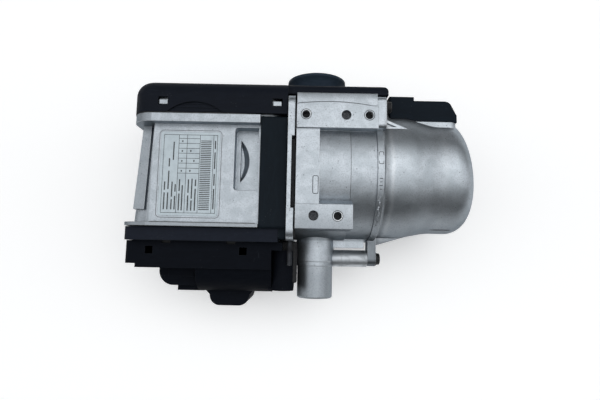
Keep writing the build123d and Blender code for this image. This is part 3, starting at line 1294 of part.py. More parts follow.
# Stator: yoke with toothed poles round the magnet
tooth_inner_r = MAGNET_R + AIR_GAP
yoke_inner_r = CAVITY_R - YOKE_T
with BuildPart() as stator_core:
    with BuildSketch(level(MAGNET_TOP_Y)):
        with Locations((FAN_X, FAN_Z)):
            Circle(CAVITY_R - BEARING_SEAT)
            Circle(yoke_inner_r, mode=Mode.SUBTRACT)
            with PolarLocations(centre(tooth_inner_r, yoke_inner_r + TOOTH_SHOE_T), TOOTH_COUNT):
                Rectangle(yoke_inner_r + TOOTH_SHOE_T - tooth_inner_r, TOOTH_T)
            with PolarLocations(tooth_inner_r + TOOTH_SHOE_T / 2, TOOTH_COUNT):
                Rectangle(TOOTH_SHOE_T, TOOTH_SHOE_WIDTH)
            Circle(tooth_inner_r, mode=Mode.SUBTRACT)
    extrude(amount=MAGNET_LENGTH)
stator_core.part.label = "stator_core"
export_step(stator_core.part, "parts/stator_core.step")

# Windings, one coil round each tooth
coil_inner_r = tooth_inner_r + 2 * TOOTH_SHOE_T
coil_outer_r = yoke_inner_r - TOOTH_SHOE_T
with BuildPart() as stator_windings:
    with BuildSketch(level(MAGNET_TOP_Y + COIL_GAP + COIL_T)):
        with Locations((FAN_X, FAN_Z)):
            with PolarLocations(centre(coil_inner_r, coil_outer_r), TOOTH_COUNT):
                Rectangle(coil_outer_r - coil_inner_r, TOOTH_T + 2 * COIL_GAP + 2 * COIL_T)
    extrude(amount=MAGNET_LENGTH + 2 * COIL_GAP + 2 * COIL_T)
    with BuildSketch(level(MAGNET_TOP_Y + COIL_GAP)):
        with Locations((FAN_X, FAN_Z)):
            with PolarLocations(centre(coil_inner_r, coil_outer_r), TOOTH_COUNT):
                Rectangle(coil_outer_r - coil_inner_r, TOOTH_T + 2 * COIL_GAP)
    extrude(amount=MAGNET_LENGTH + 2 * COIL_GAP, mode=Mode.SUBTRACT)
stator_windings.part.label = "stator_windings"
export_step(stator_windings.part, "parts/stator_windings.step")

# Seal between the housing's ledge and the intake cover
with BuildPart() as cover_seal:
    with BuildSketch(level(COVER_LOW_Y)):
        rounded_outline(
            COVER_LEFT_X,
            HOUSING_RIGHT_X,
            COVER_BACK_Z,
            COVER_FRONT_Z - SEAL_INSET,
            LEDGE_CORNER_R,
        )
        rounded_outline(
            COVER_LEFT_X + COVER_WALL,
            HOUSING_RIGHT_X + LEDGE_CORNER_R,
            COVER_BACK_Z + COVER_WALL,
            COVER_FRONT_Z - COVER_WALL,
            LEDGE_CORNER_R - COVER_WALL,
            mode=Mode.SUBTRACT,
        )
    extrude(amount=COVER_LOW_Y - LEDGE_Y)
cover_seal.part.label = "cover_seal"
export_step(cover_seal.part, "parts/cover_seal.step")

# Outer form of the duct that the intake cover carries across the exchanger
with BuildPart() as duct_form:
    with BuildSketch(level(COVER_TOP_Y)):
        bounds_outline(COVER_RIGHT_X - JOIN_LAP, DUCT_RIGHT_X, DUCT_BACK_Z, DUCT_FRONT_Z)
    extrude(amount=COVER_TOP_Y - DUCT_LOW_Y)
    fillet(duct_form.edges().group_by(Axis.Y)[-1].sort_by(Axis.X)[1:], DUCT_EDGE_R)

# Inner form of the cap over the fan
cap_top_y = COVER_TOP_Y - COVER_WALL
cap_right_x = COVER_RIGHT_X - COVER_WALL
with BuildPart() as cap_inside:
    with BuildSketch(level(cap_top_y)):
        rounded_outline(
            COVER_LEFT_X + COVER_WALL,
            cap_right_x,
            COVER_BACK_Z + COVER_WALL,
            COVER_FRONT_Z - COVER_WALL,
            LEDGE_CORNER_R - COVER_WALL,
        )
        bounds_outline(
            centre(COVER_LEFT_X, COVER_RIGHT_X),
            cap_right_x,
            COVER_BACK_Z + COVER_WALL,
            COVER_FRONT_Z - COVER_WALL,
        )
    extrude(amount=cap_top_y - COVER_LOW_Y)
    fillet(cap_inside.edges().group_by(Axis.Y)[-1].sort_by(Axis.X)[:-1], COVER_TOP_R - COVER_WALL)

# Intake cover: cap over the fan, with the duct
with BuildPart() as intake_cover:
    with BuildSketch(level(COVER_TOP_Y)):
        rounded_outline(COVER_LEFT_X, COVER_RIGHT_X, COVER_BACK_Z, COVER_FRONT_Z, LEDGE_CORNER_R)
        bounds_outline(centre(COVER_LEFT_X, COVER_RIGHT_X), COVER_RIGHT_X, COVER_BACK_Z, COVER_FRONT_Z)
    extrude(amount=COVER_TOP_Y - COVER_LOW_Y)
    fillet(intake_cover.edges().group_by(Axis.Y)[-1].sort_by(Axis.X)[:-1], COVER_TOP_R)
    add(duct_form.part)
    # inside: the space over the fan and the way along the duct
    add(cap_inside.part, mode=Mode.SUBTRACT)
    with BuildSketch(level(COVER_TOP_Y - DUCT_WALL)):
        bounds_outline(
            cap_right_x,
            DUCT_RIGHT_X - DUCT_WALL,
            DUCT_BACK_Z + DUCT_WALL,
            DUCT_FRONT_Z - DUCT_EDGE_R,
        )
    extrude(amount=COVER_TOP_Y - DUCT_LOW_Y - 2 * DUCT_WALL, mode=Mode.SUBTRACT)
    # snap windows and the arched recess in the front
    with BuildSketch(Plane.XY.offset(COVER_FRONT_Z)):
        with Locations(*[(x, WINDOW_Y) for x in WINDOWS_X]):
            Rectangle(WINDOW_WIDTH, WINDOW_HEIGHT)
    extrude(amount=-COVER_WALL, mode=Mode.SUBTRACT)
    with BuildSketch(Plane.XY.offset(COVER_FRONT_Z)):
        with Locations((FAN_X, COVER_LOW_Y + ARCH_RISE - ARCH_R)):
            Circle(ARCH_R)
    extrude(amount=-ARCH_DEPTH, mode=Mode.SUBTRACT)
    with BuildSketch(Plane.XY.offset(COVER_FRONT_Z - ARCH_DEPTH)):
        with Locations((FAN_X, COVER_LOW_Y + ARCH_RISE / 2)):
            with GridLocations(0, ARCH_RISE / ARCH_RIB_COUNT, 1, ARCH_RIB_COUNT):
                Rectangle(2 * ARCH_R, ARCH_RIB_T)
        with Locations((FAN_X, COVER_LOW_Y + ARCH_RISE - ARCH_R)):
            Circle(ARCH_R, mode=Mode.INTERSECT)
    extrude(amount=ARCH_RIB_RISE)
    # port for the flared intake
    with BuildSketch(level(COVER_TOP_Y)):
        with Locations((BELL_X, BELL_Z)):
            Circle(BELL_BORE_R)
    extrude(amount=2 * DUCT_WALL, mode=Mode.SUBTRACT)
intake_cover.part.label = "intake_cover"
export_step(intake_cover.part, "parts/intake_cover.step")

# Flared intake on the duct: a bell mouth turned about its own axis
with BuildPart() as intake_bell:
    with BuildSketch(Plane.XY.offset(BELL_Z)):
        with BuildLine():
            Line((BELL_X + BELL_BORE_R, COVER_TOP_Y), (BELL_X + BELL_NECK_R, COVER_TOP_Y))
            ThreePointArc(
                (BELL_X + BELL_NECK_R, COVER_TOP_Y),
                (BELL_X + centre(BELL_NECK_R, BELL_RIM_R) - BELL_FLARE, centre(COVER_TOP_Y, BELL_RIM_Y)),
                (BELL_X + BELL_RIM_R, BELL_RIM_Y - BELL_RIM_T),
            )
            Line((BELL_X + BELL_RIM_R, BELL_RIM_Y - BELL_RIM_T), (BELL_X + BELL_RIM_R, BELL_RIM_Y))
            Line((BELL_X + BELL_RIM_R, BELL_RIM_Y), (BELL_X + BELL_RIM_R - BELL_RIM_T, BELL_RIM_Y))
            ThreePointArc(
                (BELL_X + BELL_RIM_R - BELL_RIM_T, BELL_RIM_Y),
                (BELL_X + BELL_BORE_R + BELL_FLARE, centre(COVER_TOP_Y + BELL_BORE_LENGTH, BELL_RIM_Y)),
                (BELL_X + BELL_BORE_R, COVER_TOP_Y + BELL_BORE_LENGTH),
            )
            Line(
                (BELL_X + BELL_BORE_R, COVER_TOP_Y + BELL_BORE_LENGTH),
                (BELL_X + BELL_BORE_R, COVER_TOP_Y),
            )
        make_face()
    revolve(axis=Axis((BELL_X, 0, BELL_Z), (0, 1, 0)))
intake_bell.part.label = "intake_bell"
export_step(intake_bell.part, "parts/intake_bell.step")

# Frame of the control unit, below the housing's rim
frame_right_x = head_left_x - FOOT_WIDTH - FRAME_GAP
housing_low_y = RIM_TOP_Y - RIM_T
with BuildPart() as electronics_frame:
    with BuildSketch(level(FRAME_TOP_Y)):
        rounded_outline(FRAME_LEFT_X, frame_right_x, FRAME_BACK_Z, FRAME_FRONT_Z, FRAME_CORNER_R)
        bounds_outline(centre(FRAME_LEFT_X, frame_right_x), frame_right_x, FRAME_BACK_Z, FRAME_FRONT_Z)
    extrude(amount=FRAME_TOP_Y - FRAME_LOW_Y)
    with BuildSketch(level(FRAME_TOP_Y)):
        bounds_outline(
            FRAME_LEFT_X + FRAME_WALL + BOARD_LEDGE,
            frame_right_x - FRAME_WALL - BOARD_LEDGE,
            FRAME_BACK_Z + FRAME_WALL + BOARD_LEDGE,
            FRAME_FRONT_Z - FRAME_WALL - BOARD_LEDGE,
        )
    extrude(amount=FRAME_TOP_Y - FRAME_LOW_Y, mode=Mode.SUBTRACT)
    with BuildSketch(level(BOARD_Y)):
        bounds_outline(
            FRAME_LEFT_X + FRAME_WALL,
            frame_right_x - FRAME_WALL,
            FRAME_BACK_Z + FRAME_WALL,
            FRAME_FRONT_Z - FRAME_WALL,
        )
    extrude(amount=BOARD_Y - FRAME_LOW_Y, mode=Mode.SUBTRACT)
electronics_frame.part.label = "electronics_frame"
export_step(electronics_frame.part, "parts/electronics_frame.step")

# Control board, against the ledge inside the frame
with BuildPart() as control_board:
    with BuildSketch(level(BOARD_Y)):
        bounds_outline(
            FRAME_LEFT_X + FRAME_WALL + BOARD_MARGIN,
            frame_right_x - FRAME_WALL - BOARD_MARGIN,
            FRAME_BACK_Z + FRAME_WALL + BOARD_MARGIN,
            FRAME_FRONT_Z - FRAME_WALL - BOARD_MARGIN,
        )
    extrude(amount=BOARD_T)
control_board.part.label = "control_board"
export_step(control_board.part, "parts/control_board.step")

# Parts on the board: the processor, the power switches and the capacitors
board_low_y = BOARD_Y - BOARD_T
with BuildPart() as board_components:
    with BuildSketch(level(board_low_y)):
        with Locations((FAN_X, FAN_Z)):
            Rectangle(CHIP_SIZE, CHIP_SIZE)
    extrude(amount=CHIP_T)
    with BuildSketch(level(board_low_y)):
        with Locations((FAN_X + CHIP_SIZE, CAPACITOR_Z)):
            with GridLocations(0, CAPACITOR_PITCH, 1, CAPACITOR_COUNT):
                Circle(CAPACITOR_R)
    extrude(amount=CAPACITOR_HEIGHT)
    with BuildSketch(level(board_low_y)):
        with Locations((FAN_X - CHIP_SIZE, FAN_Z)):
            with GridLocations(0, SWITCH_PITCH, 1, SWITCH_COUNT):
                Rectangle(SWITCH_LENGTH, SWITCH_WIDTH)
    extrude(amount=SWITCH_T)
board_components.part.label = "board_components"
export_step(board_components.part, "parts/board_components.step")

# Connector cover below the frame: tray, belly, shoulder, column and the harness socket
tray_top_y = FRAME_LOW_Y - FRAME_GAP
with BuildPart() as connector_cover:
    # tray, its low left corner stepped up
    with BuildSketch(level(tray_top_y)):
        rounded_outline(TRAY_LEFT_X, TRAY_RIGHT_X, TRAY_BACK_Z, TRAY_FRONT_Z, TRAY_CORNER_R)
        bounds_outline(centre(TRAY_LEFT_X, TRAY_RIGHT_X), TRAY_RIGHT_X, TRAY_BACK_Z, TRAY_FRONT_Z)
    extrude(amount=tray_top_y - TRAY_LOW_Y)
    with BuildSketch(Plane.XY):
        bounds_outline(TRAY_LEFT_X, TRAY_STEP_X, TRAY_LOW_Y, TRAY_LOW_Y + TRAY_STEP)
        bounds_outline(BELLY_RIGHT_X, TRAY_RIGHT_X, TRAY_LOW_Y, COLUMN_TOP_Y)
    extrude(amount=TRAY_FRONT_Z, mode=Mode.SUBTRACT)
    # belly, with its large round at the lower front
    with BuildSketch(across(BELLY_LEFT_X)) as belly_outline:
        bounds_outline(BELLY_LOW_Y, tray_top_y, BELLY_BACK_Z, BELLY_FRONT_Z)
        lower_corners = belly_outline.vertices().group_by(Axis.X)[0].sort_by(Axis.Y)
        fillet(lower_corners[-1], BELLY_ROUND_R)
    extrude(amount=BELLY_RIGHT_X - BELLY_LEFT_X)
    # shoulder to the left of the belly, with the raised field on its front and the tongue below
    with BuildSketch(Plane.XY.offset(SHOULDER_BACK_Z)) as shoulder_outline:
        bounds_outline(SHOULDER_LEFT_X, BELLY_LEFT_X, SHOULDER_LOW_Y, TRAY_LOW_Y)
        fillet(shoulder_outline.vertices().group_by(Axis.X)[0].sort_by(Axis.Y)[0], SHOULDER_ROUND_R)
    extrude(amount=SHOULDER_FRONT_Z - SHOULDER_BACK_Z)
    with BuildSketch(Plane.XY.offset(SHOULDER_FRONT_Z)):
        bounds_outline(FIELD_LEFT_X, FIELD_RIGHT_X, FIELD_LOW_Y, FIELD_TOP_Y)
    extrude(amount=FIELD_RISE)
    with BuildSketch(Plane.XY.offset(TONGUE_BACK_Z)):
        bounds_outline(TONGUE_LEFT_X, BELLY_LEFT_X + TRAY_WALL, TONGUE_LOW_Y, SHOULDER_LOW_Y)
    extrude(amount=TONGUE_FRONT_Z - TONGUE_BACK_Z)
    # column at the right
    with BuildSketch(level(COLUMN_TOP_Y)):
        with Locations((COLUMN_X, COLUMN_FRONT_Z - COLUMN_R)):
            Circle(COLUMN_R)
        bounds_outline(COLUMN_X - COLUMN_R, COLUMN_X + COLUMN_R, COLUMN_BACK_Z, COLUMN_FRONT_Z - COLUMN_R)
    extrude(amount=COLUMN_TOP_Y - COLUMN_LOW_Y)
    with BuildSketch(Plane.XY.offset(COLUMN_BACK_Z)):
        bounds_outline(BELLY_RIGHT_X - TRAY_WALL, COLUMN_X, COLUMN_LOW_Y, COLUMN_TOP_Y)
    extrude(amount=COLUMN_FRONT_Z - COLUMN_R - COLUMN_BACK_Z)
    # harness socket, open to the back
    with BuildSketch(Plane.XY.offset(SOCKET_BACK_Z)) as socket_outline:
        bounds_outline(SOCKET_X - SOCKET_WIDTH / 2, SOCKET_X + SOCKET_WIDTH / 2, SOCKET_LOW_Y, BELLY_LOW_Y)
        with BuildLine():
            Polyline(
                (SOCKET_X - SOCKET_WIDTH / 2 - SOCKET_FLARE, BELLY_LOW_Y),
                (SOCKET_X + SOCKET_WIDTH / 2 + SOCKET_FLARE, BELLY_LOW_Y),
                (SOCKET_X + SOCKET_WIDTH / 2, BELLY_LOW_Y - SOCKET_FLARE),
                (SOCKET_X - SOCKET_WIDTH / 2, BELLY_LOW_Y - SOCKET_FLARE),
                close=True,
            )
        make_face()
        fillet(socket_outline.vertices().group_by(Axis.Y)[0], SOCKET_CORNER_R)
    extrude(amount=SOCKET_FRONT_Z - SOCKET_BACK_Z)
    # inside of the tray and the belly
    with BuildSketch(level(tray_top_y)):
        rounded_outline(
            TRAY_LEFT_X + TRAY_WALL,
            TRAY_RIGHT_X - TRAY_WALL,
            TRAY_BACK_Z + TRAY_WALL,
            TRAY_FRONT_Z - TRAY_WALL,
            TRAY_CORNER_R - TRAY_WALL,
        )
    extrude(amount=tray_top_y - COLUMN_TOP_Y - TRAY_WALL, mode=Mode.SUBTRACT)
    with BuildSketch(level(tray_top_y)):
        bounds_outline(
            TRAY_STEP_X + TRAY_WALL,
            BELLY_RIGHT_X - TRAY_WALL,
            TRAY_BACK_Z + TRAY_WALL,
            TRAY_FRONT_Z - TRAY_WALL,
        )
    extrude(amount=tray_top_y - TRAY_LOW_Y - TRAY_WALL, mode=Mode.SUBTRACT)
    with BuildSketch(across(BELLY_LEFT_X + TRAY_WALL)) as belly_inside:
        bounds_outline(
            BELLY_LOW_Y + TRAY_WALL,
            tray_top_y,
            BELLY_BACK_Z + TRAY_WALL,
            BELLY_FRONT_Z - TRAY_WALL,
        )
        fillet(belly_inside.vertices().group_by(Axis.X)[0].sort_by(Axis.Y)[-1], BELLY_ROUND_R - TRAY_WALL)
    extrude(amount=BELLY_RIGHT_X - BELLY_LEFT_X - 2 * TRAY_WALL, mode=Mode.SUBTRACT)
    # hollow of the socket, the snap windows and the vent notches in the upper edge
    with BuildSketch(Plane.XY.offset(SOCKET_BACK_Z)):
        rounded_outline(
            SOCKET_X - SOCKET_WIDTH / 2 + SOCKET_WALL,
            SOCKET_X + SOCKET_WIDTH / 2 - SOCKET_WALL,
            SOCKET_LOW_Y + SOCKET_WALL,
            BELLY_LOW_Y + SOCKET_OFFSET,
            SOCKET_CORNER_R - SOCKET_WALL,
        )
    extrude(amount=SOCKET_DEPTH, mode=Mode.SUBTRACT)
    with BuildSketch(Plane.XY.offset(TRAY_FRONT_Z)):
        with Locations(*[(x, SNAP_Y) for x in SNAPS_X]):
            Rectangle(SNAP_SIZE, SNAP_SIZE)
        for x in NOTCHES_X:
            bounds_outline(x - NOTCH_LENGTH / 2, x + NOTCH_LENGTH / 2, tray_top_y - NOTCH_DEPTH, tray_top_y)
    extrude(amount=-TRAY_WALL, mode=Mode.SUBTRACT)
connector_cover.part.label = "connector_cover"
export_step(connector_cover.part, "parts/connector_cover.step")

# Contact pins in the harness socket
with BuildPart() as socket_pins:
    with BuildSketch(Plane.XY.offset(SOCKET_BACK_Z + SOCKET_DEPTH)):
        with Locations((SOCKET_X, centre(SOCKET_LOW_Y, BELLY_LOW_Y + SOCKET_OFFSET))):
            with GridLocations(PIN_PITCH, PIN_PITCH, PIN_COLUMNS, PIN_ROWS):
                Rectangle(PIN_SIZE, PIN_SIZE)
    extrude(amount=-PIN_LENGTH)
socket_pins.part.label = "socket_pins"
export_step(socket_pins.part, "parts/socket_pins.step")
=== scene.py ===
"""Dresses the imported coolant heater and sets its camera, floor and light.

The heater lies on its back. X runs along the drum, Y from the exhaust towards the air intake, Z up.
Sizes are in millimetres in the classes and become metres when a mesh is made.
"""

from __future__ import annotations

import logging
import math
from collections.abc import Sequence
from dataclasses import dataclass
from enum import Enum
from functools import cache
from typing import Any

import bmesh
import bpy
import numpy as np
from mathutils import Matrix, Vector


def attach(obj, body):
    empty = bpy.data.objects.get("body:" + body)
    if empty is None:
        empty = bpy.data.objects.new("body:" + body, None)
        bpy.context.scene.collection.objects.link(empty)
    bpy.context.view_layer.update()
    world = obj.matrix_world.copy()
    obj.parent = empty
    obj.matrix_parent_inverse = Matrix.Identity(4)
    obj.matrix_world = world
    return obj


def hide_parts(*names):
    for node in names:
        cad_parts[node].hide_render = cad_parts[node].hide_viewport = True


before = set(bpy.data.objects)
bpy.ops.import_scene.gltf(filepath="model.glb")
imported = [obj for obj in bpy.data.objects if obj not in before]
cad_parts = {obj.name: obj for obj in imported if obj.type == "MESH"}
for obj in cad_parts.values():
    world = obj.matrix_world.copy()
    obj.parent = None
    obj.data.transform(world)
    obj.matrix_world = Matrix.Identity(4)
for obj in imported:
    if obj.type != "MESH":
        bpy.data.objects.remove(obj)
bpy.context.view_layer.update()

MM = 0.001
AXIS_Z = 46.5  # height of the drum's axis
FULL_TURN = 2 * math.pi
SOCKET_LOBES = 6
END_SCALE = 0.02  # of an open bead's section at its ends
EDGE_SAMPLES = 6
EVEN = (1.0, 1.0, 1.0)
LOG = logging.getLogger("coolant_heater")

Colour = tuple[float, float, float]
Place = tuple[float, float, float]
Pair = tuple[float, float]
Shape = tuple[np.ndarray, np.ndarray]  # points and faces
Track = tuple[np.ndarray, np.ndarray]  # places on a surface and its normals there
Node = bpy.types.Node
Socket = bpy.types.NodeSocket
Value = Any  # a number, a tuple, an array or a node socket
Inputs = dict[str | int, Any]


class Direction(Enum):
    """The object's axes, as the index of a coordinate."""

    X = 0
    Y = 1
    Z = 2


# A painted shade darkens the colour along an axis from start to end, up to its share, and ends at its stop.
PaintedShade = tuple[Direction, float, float, float, float]  # axis, start, end, share and stop


# Meshes


def whole_turn(steps: int) -> np.ndarray:
    """Angles once round, evenly spaced."""
    return np.linspace(0.0, FULL_TURN, steps, endpoint=False)


def places(*coordinates: Value) -> np.ndarray:
    """Rows whose coordinates are given apart, as arrays or numbers that fit one another."""
    return np.stack(np.broadcast_arrays(*coordinates), axis=-1)


def grid_faces(rows: int, columns: int, close_rows: bool = False, close_columns: bool = True) -> np.ndarray:
    """Joins a grid of points, stored row by row, with four-sided faces.

    Args:
        rows: number of rows of points.
        columns: number of points in a row.
        close_rows: whether the last row joins the first one.
        close_columns: whether each row is a closed ring.

    Returns:
        An array of faces with four point numbers each.
    """
    i, j = np.meshgrid(
        np.arange(rows if close_rows else rows - 1),
        np.arange(columns if close_columns else columns - 1),
        indexing="ij",
    )
    below, beside = (i + 1) % rows, (j + 1) % columns
    quads = [i * columns + j, below * columns + j, below * columns + beside, i * columns + beside]
    return np.stack(quads, axis=-1).reshape(-1, 4)


def rings(radius: np.ndarray, level: np.ndarray, closed: bool = False) -> Shape:
    """Rings of points round the Z axis, joined with faces.

    Args:
        radius: a row for each ring, with a column for each point.
        level: their Z, as an array that fits the radius.
        closed: whether the last ring joins the first one.

    Returns:
        The points, at radius * (cos turn, sin turn), and the faces.
    """
    turn = whole_turn(radius.shape[1])
    points = places(radius * np.cos(turn), radius * np.sin(turn), level).reshape(-1, 3)
    return points, grid_faces(*radius.shape, close_rows=closed)


def joined(shapes: Sequence[Shape]) -> Shape:
    """Joins several shapes into one."""
    starts = np.cumsum([0] + [len(points) for points, _ in shapes])
    faces = [part + start for (_, part), start in zip(shapes, starts)]
    return np.concatenate([points for points, _ in shapes]), np.concatenate(faces)


def repeated(shape: Shape, offsets: Sequence[Sequence[float]]) -> Shape:
    """Copies one shape to several places, with an X, Y and Z for each copy."""
    return joined([(shape[0] + np.array(offset), shape[1]) for offset in offsets])


def rounded_rectangle(width: float, height: float, radius: float, per_corner: int = 8) -> np.ndarray:
    """Outline of a rectangle with round corners.

    A point at the angle a lies at the corner's centre plus radius times (cos a, sin a), where the signs of
    cos a and sin a choose the corner.

    Args:
        width: size along the first coordinate.
        height: size along the second coordinate.
        radius: corner radius.
        per_corner: points in each corner.

    Returns:
        The outline's points in order, one row each.
    """
    quarter = np.linspace(0.0, math.pi / 2, per_corner)
    turn = (quarter[None] + np.arange(4)[:, None] * math.pi / 2).ravel()
    middle = np.repeat(np.arange(4) * math.pi / 2 + math.pi / 4, per_corner)
    across = (width / 2 - radius) * np.sign(np.cos(middle)) + radius * np.cos(turn)
    along = (height / 2 - radius) * np.sign(np.sin(middle)) + radius * np.sin(turn)
    return np.stack([across, along], axis=-1)


def on_level(x: Value, y: Value, z: Value) -> Track:
    """Track on level ground, from its coordinates."""
    path = places(x, y, z)
    return path, np.broadcast_to((0.0, 0.0, 1.0), path.shape)


def on_cylinder(x: Value, y: Value, radius: float) -> Track:
    """Track wrapped round the drum's axis.

    A place (x, y) goes to (x, y, AXIS_Z + sqrt(radius^2 - y^2)), and its normal points from the axis.

    Args:
        x: the places' X.
        y: their Y.
        radius: the cylinder's radius.

    Returns:
        The places on the cylinder and the normals there.
    """
    rise = np.sqrt(radius**2 - y**2)
    return places(x, y, AXIS_Z + rise), places(0.0 * x, y / radius, rise / radius)


def bead(track: Track, width: float, height: float, closed: bool = False, steps: int = 8) -> Shape:
    """Lays a cast bead along a track: half round, and sunk a little below the surface.

    At each place the section goes sideways along tangent x normal, and rises along the normal. An open bead
    tapers to a point at both ends.

    Args:
        track: the places and normals that it follows.
        width: the bead's width.
        height: its height above the surface.
        closed: whether the track is a ring.
        steps: points round the section.

    Returns:
        The bead's points and faces.
    """
    path, normal = track
    turn = whole_turn(steps)
    ahead, behind = np.roll(path, -1, axis=0), np.roll(path, 1, axis=0)
    size = np.ones((len(path), 1, 1))
    if not closed:
        ahead[-1], behind[0] = path[-1], path[0]
        size[[0, -1]] = END_SCALE
    tangent = ahead - behind
    tangent /= np.linalg.norm(tangent, axis=1, keepdims=True)
    side = np.cross(tangent, normal)
    across = (width / 2 * np.cos(turn))[None, :, None] * side[:, None] * size
    upward = (height * np.maximum(np.sin(turn), -0.4))[None, :, None] * normal[:, None] * size
    points = path[:, None] + across + upward
    return points.reshape(-1, 3), grid_faces(len(path), steps, close_rows=closed)


def turned(profile: np.ndarray, steps: int, lobes: Value = 0.0) -> Shape:
    """Turns a profile round the X axis, with rings that may be lobed as a driver socket is.

    A point at the turn a lies at the radius r * (1 + lobe * cos(6 a)).

    Args:
        profile: rows of axial place and radius r, from one pole to the other.
        steps: points round each ring.
        lobes: how strongly each ring is lobed.

    Returns:
        The surface's points and faces.
    """
    wave = np.cos(SOCKET_LOBES * whole_turn(steps))
    points, faces = rings(profile[:, 1:] * (1 + np.reshape(lobes, (-1, 1)) * wave), profile[:, :1])
    return points[:, [2, 0, 1]], faces


def new_object(name: str, data: bpy.types.ID) -> bpy.types.Object:
    """Puts a new object into the scene."""
    item = bpy.data.objects.new(name, data)
    bpy.context.scene.collection.objects.link(item)
    return item


def new_mesh(name: str, shape: Shape) -> bpy.types.Mesh:
    """Makes a mesh in metres from a shape in millimetres."""
    mesh = bpy.data.meshes.new(name)
    mesh.from_pydata((shape[0] * MM).tolist(), [], shape[1].tolist())
    return mesh


def make_piece(name: str, shape: Shape, finish: Finish, sharp: float = 35.0) -> bpy.types.Object:
    """Makes one finished piece, with its place in its mesh.

    Args:
        name: the piece's name.
        shape: its points in millimetres and its faces.
        finish: its finish.
        sharp: the angle in degrees past which an edge stays sharp.

    Returns:
        The new object, which rides on the heater's body.
    """
    mesh = new_mesh(name, shape)
    work = bmesh.new()
    work.from_mesh(mesh)
    bmesh.ops.remove_doubles(work, verts=work.verts, dist=1e-7)
    bmesh.ops.recalc_face_normals(work, faces=work.faces)
    work.to_mesh(mesh)
    work.free()
    mesh.polygons.foreach_set("use_smooth", np.ones(len(mesh.polygons), bool))
    mesh.set_sharp_from_angle(angle=math.radians(sharp))
    mesh.materials.append(material_of(finish))
    piece = new_object(name, mesh)
    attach(piece, "heater")
    LOG.info("piece %s: %d points", name, len(mesh.vertices))
    return piece


def dress(finish: Finish, *nodes: str) -> None:
    """Gives CAD nodes their finish."""
    for name in nodes:
        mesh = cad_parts[name].data
        mesh.materials.clear()
        mesh.materials.append(material_of(finish))
        LOG.info("node %s wears %s", name, finish.name)


# Finishes


class Graph:
    """A node tree whose nodes are added by short calls. Lengths are in millimetres."""

    def __init__(self, tree: bpy.types.NodeTree) -> None:
        """Starts with an empty tree."""
        self.tree = tree
        self.tree.nodes.clear()

    def node(self, kind: str, inputs: Inputs | None = None, **settings: Any) -> Node:
        """Adds one node.

        Args:
            kind: the node's type, without its prefix.
            inputs: values or sockets for its inputs.
            settings: its other settings.

        Returns:
            The node.
        """
        node = self.tree.nodes.new("ShaderNode" + kind)
        for key, value in settings.items():
            setattr(node, key, value)
        for key, value in (inputs or {}).items():
            self.feed(node.inputs[key], value)
        return node

    def feed(self, socket: Socket, value: Value) -> None:
        """Links a socket to another one or gives it a value."""
        if isinstance(value, Socket):
            self.tree.links.new(value, socket)
        elif socket.type == "RGBA":
            socket.default_value = (*value, 1.0)
        else:
            socket.default_value = value

    def maths(self, operation: str, *values: Value) -> Socket:
        """Result of one sum on numbers."""
        return self.node("Math", dict(enumerate(values)), operation=operation).outputs[0]

    def times(self, first: Value, second: Value) -> Socket:
        """Product of two numbers."""
        return self.maths("MULTIPLY", first, second)

    def line(self, value: Value, slope: Value, start: Value) -> Socket:
        """Start + slope * value."""
        return self.maths("MULTIPLY_ADD", value, slope, start)

    def vector(self, operation: str, *values: Value) -> Node:
        """Node of one sum on vectors."""
        return self.node("VectorMath", dict(enumerate(values)), operation=operation)

    def span(self, value: Value, low: float, high: float, start: float = 0.0, end: float = 1.0) -> Socket:
        """Smooth step of a value from low to high, onto start to end."""
        inputs = {"Value": value, "From Min": low, "From Max": high, "To Min": start, "To Max": end}
        return self.node("MapRange", inputs, interpolation_type="SMOOTHSTEP").outputs["Result"]


